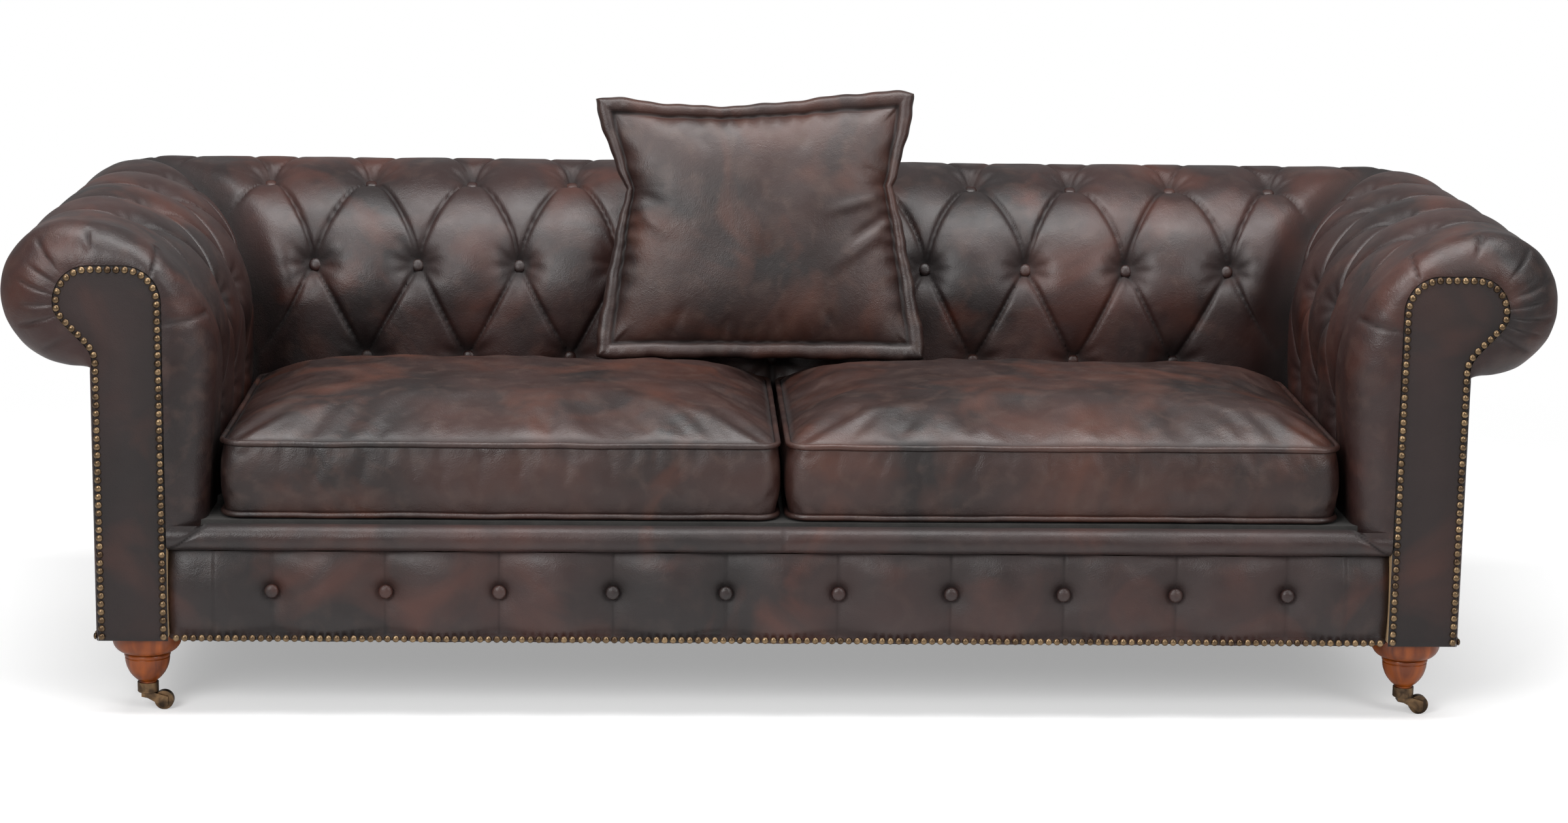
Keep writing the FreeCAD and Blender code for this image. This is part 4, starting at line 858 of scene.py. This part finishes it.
def flat_place(u, v, half_x, half_y, corner):
    """Place on a panel with rounded corners of a point of the square from -1 to 1."""
    reach = np.maximum(np.maximum(np.abs(u), np.abs(v)), 1e-9)
    edge_x, edge_y = u / reach * half_x, v / reach * half_y
    inner_x = np.clip(edge_x, corner - half_x, half_x - corner)
    inner_y = np.clip(edge_y, corner - half_y, half_y - corner)
    away = np.maximum(np.hypot(edge_x - inner_x, edge_y - inner_y), 1e-9)
    x = inner_x + corner * (edge_x - inner_x) / away
    y = inner_y + corner * (edge_y - inner_y) / away
    return x * reach, y * reach


def cushion_mesh(half_x, half_y, low, top, side, step):
    """Closed cushion: crowned panels above and below, and a band between them."""
    across, deep = int(2 * half_x / step), int(2 * half_y / step)
    u, v = np.linspace(-1, 1, across + 1)[None, :], np.linspace(-1, 1, deep + 1)[:, None]
    x, y = flat_place(u + 0 * v, v + 0 * u, half_x, half_y, CORNER)
    full, gradual = np.clip(1 - np.abs(u) ** 6, 0, 1) ** 0.35, np.clip(1 - u**2, 0, 1) ** 0.8
    edge = (0.55 * full + 0.45 * gradual) * np.clip(1 - np.abs(v) ** 3.6, 0, 1) ** 0.45
    swell = 0.0028 * ripple(x, y, 0.20, 1.3 + side) + 0.0012 * ripple(x, y, 0.07, 2.0 + side)
    above = np.stack([x, y, top + CROWN * edge + swell * np.minimum(edge * 3, 1)], -1)
    below = np.stack([x, y, low - 0.004 * edge], -1)
    turn_u = np.concatenate([u[0, :-1], np.ones(deep), u[0, :0:-1], -np.ones(deep)])
    turn_v = np.concatenate([-np.ones(across), v[:-1, 0], np.ones(across), v[:0:-1, 0]])
    loop_x, loop_y = flat_place(turn_u, turn_v, half_x, half_y, CORNER)
    rise = np.linspace(0, 1, int((top - low) / step) + 1)[:, None]
    passed = np.arange(len(loop_x)) * step
    fullness = 0.0050 + 0.0010 * ripple(passed, rise * 0.1, 0.13, 3.0 + side)
    bulge = 1 + fullness * np.sin(math.pi * rise) / 0.4
    band = np.stack([loop_x * bulge, loop_y * bulge, low + (top - low) * rise + 0 * bulge], -1)
    parts = [
        (above, grid_faces(deep + 1, across + 1)),
        (below, grid_faces(deep + 1, across + 1, flip=True)),
        (band, grid_faces(len(rise), len(loop_x), closed=True)),
    ]
    points, faces = joined(parts)
    points, faces, _ = welded(points, faces)
    return points, faces


def settled(points, faces, held, furthest):
    """The mesh after the leather has stretched over its filling. Held points stay in place."""
    mesh = bpy.data.meshes.new("settling")
    mesh.from_pydata(points.tolist(), [], faces.tolist())
    thing = bpy.data.objects.new("settling", mesh)
    bpy.context.scene.collection.objects.link(thing)
    group = thing.vertex_groups.new(name="seams")
    group.add(np.flatnonzero(held).tolist(), 1.0, "REPLACE")
    leather_sheet = thing.modifiers.new("leather", "CLOTH")
    settings = leather_sheet.settings
    settings.quality = 5
    settings.mass = 0.4
    settings.tension_stiffness = settings.compression_stiffness = 12
    settings.bending_stiffness = 1.5
    settings.shrink_min = -0.012
    settings.use_pressure = True
    settings.uniform_pressure_force = 4
    settings.vertex_group_mass = "seams"
    settings.effector_weights.gravity = 0
    leather_sheet.collision_settings.use_collision = False
    leather_sheet.point_cache.frame_start, leather_sheet.point_cache.frame_end = 1, SETTLING_FRAMES
    for step in range(1, SETTLING_FRAMES + 1):
        bpy.context.scene.frame_set(step)
    shown = thing.evaluated_get(bpy.context.evaluated_depsgraph_get())
    after = np.array([tuple(point.co) for point in shown.data.vertices])
    bpy.data.objects.remove(thing)
    bpy.context.scene.frame_set(1)
    moved = after - points
    length = np.maximum(np.linalg.norm(moved, axis=1), 1e-9)[:, None]
    return points + moved / length * np.minimum(length, furthest)


def finer(thing):
    """Rounds the mesh with one more division."""
    division = thing.modifiers.new("finer", "SUBSURF")
    division.levels = division.render_levels = 1
    bpy.context.view_layer.objects.active = thing
    bpy.ops.object.modifier_apply(modifier=division.name)


def cushion(name, side):
    """Boxed cushion: crowned top and bottom panels and a band between them."""
    half_x = (CUSHION_X[1] - CUSHION_X[0]) / 2
    half_y = (CUSHION_Y[1] - CUSHION_Y[0]) / 2
    centre = np.array([side * (CUSHION_X[0] + CUSHION_X[1]) / 2, (CUSHION_Y[0] + CUSHION_Y[1]) / 2, 0])
    low, top = SEAM_UP
    points, faces = cushion_mesh(half_x, half_y, low, top, side, CUSHION_GRID)
    past_x = np.abs(points[:, 0]) > half_x - CORNER - 0.001
    past_y = np.abs(points[:, 1]) > half_y - CORNER - 0.001
    on_seam = (np.isclose(points[:, 2], low) | np.isclose(points[:, 2], top)) & (past_x | past_y)
    points = settled(points, faces, on_seam, SETTLING_REACH)
    points = points + centre
    body, slot = f"{name}_cushion", "cushion_leather"
    # Painted shade along the seams of the piping.
    mark = np.where(on_seam, 0.25, 1.0)
    made = piece(f"{name}_cushion_leather", points, faces, body, CUSHION_LEATHER, mark)
    finer(made)
    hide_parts(f"{name}_cushion_cover", f"{name}_cushion_core")
    cushion_cord(name, side, half_x, half_y, centre)


def cushion_cord(name, side, half_x, half_y, centre):
    """Piping round the top and round the bottom panel of a cushion."""
    cords = []
    for up in SEAM_UP:
        loop = rounded_rectangle(half_x + 0.0030, half_y + 0.0030, CORNER + 0.004, 420)
        path = np.column_stack([loop + centre[:2], np.full(len(loop), up)])
        path[:, 2] += 0.0012 * ripple(path[:, 0], path[:, 1], 0.12, side + up)
        cords.append(tube(path, CORD_RADIUS))
    points, faces = joined(cords)
    body, slot = f"{name}_cushion", "cushion_leather"
    made = piece(f"{name}_cushion_cord", points, faces, body, CUSHION_LEATHER)
    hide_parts(f"{name}_cushion_piping")


# Pillow: place, size and lean, width of its flange, and the height at which its sides are drawn in
PILLOW_CENTRE = Vector((-0.031, 0.109, 0.6955))
PILLOW_WIDTH, PILLOW_HEIGHT, PILLOW_THICK = 0.545, 0.450, 0.104
PILLOW_LEAN = math.radians(13)
FLANGE = 0.029
PINCH_AT = 0.29


def pillow_outline(u, v):
    """Place in the pillow's own plane of a point of its square, with pinched sides and worn corners."""
    above, below = (v - PINCH_AT) / (1 - PINCH_AT), (PINCH_AT - v) / (1 + PINCH_AT)
    from_pinch = np.clip(np.maximum(above, below), 0, 1)
    drawn_in = np.where(u < 0, 0.060, 0.050) * (1 - from_pinch**0.85) * np.abs(u) ** 3
    x = u * (PILLOW_WIDTH / 2) - np.sign(u) * drawn_in
    dip = np.where(v > 0, 0.024 * np.exp(-(((u + 0.2) / 0.75) ** 2)), 0.008)
    z = v * (PILLOW_HEIGHT / 2) - np.sign(v) * dip * (1 - u**4) * np.abs(v) ** 3
    corner = np.abs(u * v) ** 10 * 0.008
    wave = 0.0011 * np.abs(u) ** 6 * (np.sin(17 * v + 2 * u) + 0.5 * np.sin(41 * v))
    wave_up = 0.0012 * np.abs(v) ** 6 * (np.sin(15 * u + v) + 0.5 * np.sin(37 * u))
    left, right, low, high = (1 - u) / 2, (1 + u) / 2, (1 - v) / 2, (1 + v) / 2
    aside = -0.008 * left * high - 0.003 * left * low + 0.019 * right * low
    upwards = 0.012 * right * high - 0.002 * left * high - 0.004 * low
    return x - np.sign(u) * corner + wave + aside, z - np.sign(v) * corner + wave_up + upwards


def fold_line(x, z, start, end, width):
    """A soft crease between two points of a plane, 1 along it and 0 away from it."""
    run, rise = end[0] - start[0], end[1] - start[1]
    length = math.hypot(run, rise)
    ahead = ((x - start[0]) * run + (z - start[1]) * rise) / length
    aside = ((x - start[0]) * rise - (z - start[1]) * run) / length
    ends = smooth(ahead, -0.2 * length, 0.3 * length) * (1 - smooth(ahead, 0.6 * length, 1.1 * length))
    return np.exp(-((aside / width) ** 2)) * ends


# Soft creases of the pillow's front: (start, end, width, height) in its own plane
PILLOW_CREASES = (
    ((0.235, 0.060), (0.110, 0.020), 0.010, 0.004),
    ((0.240, 0.035), (0.150, -0.030), 0.009, -0.004),
    ((0.232, 0.010), (0.120, -0.075), 0.012, 0.004),
    ((0.236, 0.085), (0.160, 0.100), 0.008, -0.003),
    ((-0.235, 0.070), (-0.150, 0.030), 0.010, -0.004),
    ((-0.235, 0.045), (-0.140, -0.020), 0.012, 0.003),
    ((-0.150, -0.200), (-0.120, -0.130), 0.009, -0.003),
    ((-0.060, -0.200), (-0.045, -0.150), 0.008, -0.003),
    ((0.050, -0.200), (0.040, -0.140), 0.009, -0.003),
    ((0.150, -0.200), (0.110, -0.130), 0.010, -0.004),
    ((-0.120, 0.190), (-0.080, 0.120), 0.010, -0.002),
    ((0.100, 0.190), (0.070, 0.120), 0.010, -0.002),
)


def pillow_filling(u, v):
    """How full the pillow is: 0 at the seam of its flange and 1 in the middle."""
    body_u = np.clip(np.abs(u) / (1 - 2 * FLANGE / PILLOW_WIDTH), 0, 1)
    body_v = np.clip(np.abs(v) / (1 - 2 * FLANGE / PILLOW_HEIGHT), 0, 1)
    return np.clip(1 - body_u**2.6, 0, 1) ** 0.55 * np.clip(1 - body_v**2.6, 0, 1) ** 0.55


def pillow_half(around, from_edge, stuffed):
    """Half the pillow's thickness, with its rolled flange and the puckers along the seam."""
    middle = np.clip((from_edge - FLANGE / 2) / (FLANGE / 2), -1, 1)
    rolled = np.sqrt(1 - middle**2)
    strength = 0.18 * np.sin(around * 150 + 6 * np.sin(around * 23))
    puckers = 1 + strength * ripple(around, 0 * around, 0.09, 2.0)
    half = 0.002 + (PILLOW_THICK / 2 - 0.002) * stuffed + 0.0100 * rolled * puckers
    half = half * np.sqrt(np.clip(from_edge / 0.004, 0, 1))
    near_seam = np.exp(-(((from_edge - FLANGE) / 0.022) ** 2)) * (from_edge > FLANGE)
    return half + 0.0022 * near_seam * np.sin(around * 160 + 5 * np.sin(around * 17))


def pillow():
    """Loose pillow with pinched sides and a rolled flange, leaning on the back."""
    columns, rows = int(0.56 / (GRID * 0.7)), int(0.46 / (GRID * 0.7))
    u, v = np.meshgrid(np.linspace(-1, 1, columns), np.linspace(-1, 1, rows))
    x, z = pillow_outline(u, v)
    from_side, from_end = (1 - np.abs(u)) * PILLOW_WIDTH, (1 - np.abs(v)) * PILLOW_HEIGHT
    from_edge = np.minimum(from_side / 2, from_end / 2)
    stuffed = pillow_filling(u, v)
    half = pillow_half(np.where(from_side < from_end, z, x), from_edge, stuffed)
    creased = sum(height * fold_line(x, z, start, end, width) for start, end, width, height in PILLOW_CREASES)
    parts = []
    for way in (-1, 1):
        swell = 0.0030 * ripple(x, z, 0.19, 4.0 + way)
        depth = way * (half + swell * stuffed + creased * stuffed**0.4)
        parts.append(np.stack([x, depth, z], -1).reshape(-1, 3))
    faces = np.concatenate([grid_faces(rows, columns), grid_faces(rows, columns, flip=True) + rows * columns])
    points, faces, kept = welded(np.concatenate(parts), faces)
    turn = np.array(Matrix.Rotation(-PILLOW_LEAN, 3, "X"))
    points = points @ turn.T + np.array(PILLOW_CENTRE)
    # Painted shade along the seam of the flange.
    seam = np.exp(-(((from_edge - FLANGE) / 0.0035) ** 2))
    mark = np.tile((1 - 0.9 * seam).reshape(-1), 2)[kept]
    made = piece("throw_pillow_leather", points, faces, "throw_pillow", CUSHION_LEATHER, mark)
    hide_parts("pillow_cover", "pillow_insert")


# Camera, floor and lights

# Light of the surroundings, the floor's grey, the light it adds for the camera, and where it fades into white
AMBIENT = 0.38
FLOOR_TONE = 0.70
FLOOR_LIFT = 0.34
FADE_START, FADE_END = 1.0, 2.6

# Camera of the photograph: its place, its yaw, pitch and roll in degrees, and its lens and sensor in millimetres
CAMERA_PLACE = (-0.1955, -5.7262, 1.5392)
CAMERA_TURN = (2.1113, 11.2338, 0.8079)
CAMERA_LENS, CAMERA_SENSOR = 80.29, 36


def carry_over_finishes():
    """Gives every CAD node the finish of its material slot."""
    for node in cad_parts.values():
        for index, old in enumerate(node.data.materials):
            node.data.materials[index] = SLOT_FINISH[old.name.split(".")[0]]


def camera():
    """The camera of the photograph."""
    yaw, pitch, roll = (math.radians(angle) for angle in CAMERA_TURN)
    ahead = Vector((math.sin(yaw) * math.cos(pitch), math.cos(yaw) * math.cos(pitch), -math.sin(pitch)))
    right = Vector((math.cos(yaw), -math.sin(yaw), 0))
    up = right.cross(ahead)
    turned_right = math.cos(roll) * right + math.sin(roll) * up
    turned_up = -math.sin(roll) * right + math.cos(roll) * up
    lens = bpy.data.cameras.new("camera")
    lens.sensor_width = CAMERA_SENSOR
    lens.lens = CAMERA_LENS
    thing = bpy.data.objects.new("camera", lens)
    turn = Matrix((turned_right, turned_up, -ahead)).transposed().to_4x4()
    thing.matrix_world = Matrix.Translation(CAMERA_PLACE) @ turn
    bpy.context.scene.collection.objects.link(thing)
    bpy.context.scene.camera = thing


def area_light(name, place, target, width, height, power):
    """A soft light that looks at a target."""
    lamp = bpy.data.lights.new(name, "AREA")
    lamp.shape = "RECTANGLE"
    lamp.size, lamp.size_y = width, height
    lamp.energy = power
    thing = bpy.data.objects.new(name, lamp)
    thing.location = place
    thing.rotation_euler = (Vector(target) - Vector(place)).to_track_quat("-Z", "Y").to_euler()
    bpy.context.scene.collection.objects.link(thing)


def floor():
    """Pale floor under the sofa, which fades into the white surroundings."""
    mesh = bpy.data.meshes.new("floor")
    size = 8
    corners = [(-size, -size, 0), (size, -size, 0), (size, size, 0), (-size, size, 0)]
    mesh.from_pydata(corners, [], [(0, 1, 2, 3)])
    made = Finish("floor_finish", 0.9)
    made.set("Base Color", made.ramp(made.noise(0.8, 2.0), (0.3, FLOOR_TONE), (0.7, FLOOR_TONE + 0.01)))
    made.shader.inputs["Specular IOR Level"].default_value = 0.0
    seen = made.node("ShaderNodeLightPath").outputs["Is Camera Ray"]
    made.set("Emission Color", made.ramp(seen, (0.0, 0.0), (1.0, FLOOR_LIFT)))
    made.shader.inputs["Emission Strength"].default_value = 1.0
    distance = made.node("ShaderNodeVectorMath", operation="LENGTH")
    made.link(made.stretched((0.60, 1.0, 1.0)), distance.inputs[0])
    fading = made.node("ShaderNodeMapRange", interpolation_type="SMOOTHSTEP")
    made.link(distance.outputs["Value"], fading.inputs["Value"])
    fading.inputs["From Min"].default_value = FADE_START
    fading.inputs["From Max"].default_value = FADE_END
    clear = made.node("ShaderNodeBsdfTransparent")
    mixed = made.node("ShaderNodeMixShader")
    made.link(fading.outputs["Result"], mixed.inputs["Fac"])
    made.link(made.shader.outputs["BSDF"], mixed.inputs[1])
    made.link(clear.outputs["BSDF"], mixed.inputs[2])
    made.link(mixed.outputs["Shader"], made.tree.nodes["Material Output"].inputs["Surface"])
    mesh.materials.append(made.material)
    thing = bpy.data.objects.new("floor", mesh)
    bpy.context.scene.collection.objects.link(thing)


def surroundings():
    """White behind the sofa, and an even grey that lights it."""
    world = bpy.data.worlds.new("studio")
    world.use_nodes = True
    tree = world.node_tree
    tree.nodes.clear()
    seen = tree.nodes.new("ShaderNodeLightPath").outputs["Is Camera Ray"]
    mixed = tree.nodes.new("ShaderNodeMixShader")
    tree.links.new(seen, mixed.inputs["Fac"])
    for index, strength in ((1, AMBIENT), (2, 1.0)):
        background = tree.nodes.new("ShaderNodeBackground")
        background.inputs["Color"].default_value = (1, 1, 1, 1)
        background.inputs["Strength"].default_value = strength
        tree.links.new(background.outputs["Background"], mixed.inputs[index])
    out = tree.nodes.new("ShaderNodeOutputWorld")
    tree.links.new(mixed.outputs["Shader"], out.inputs["Surface"])
    bpy.context.scene.world = world


def lights():
    """A wide light overhead and two softer ones from the front."""
    area_light("overhead", (0.0, -0.7, 3.2), (0.0, -0.1, 0.5), 4.2, 1.6, 150)
    area_light("front_left", (-2.6, -4.6, 2.8), (-0.2, 0.0, 0.5), 2.6, 2.2, 170)
    area_light("front_right", (3.2, -4.0, 2.6), (0.3, 0.0, 0.5), 2.0, 2.0, 80)


carry_over_finishes()
tufted_back()
surface_buttons()
for side_name, side_sign in SIDES:
    arm_wrap(side_name, side_sign)
    facing(side_name, side_sign)
    outside_panel(side_name, side_sign)
    cushion(side_name, side_sign)
back_panel()
facing_nails()
base_nails()
front_rail_cover()
rail_buttons()
border()
pillow()
camera()
surroundings()
floor()
lights()
bpy.context.scene.view_settings.view_transform = "Standard"
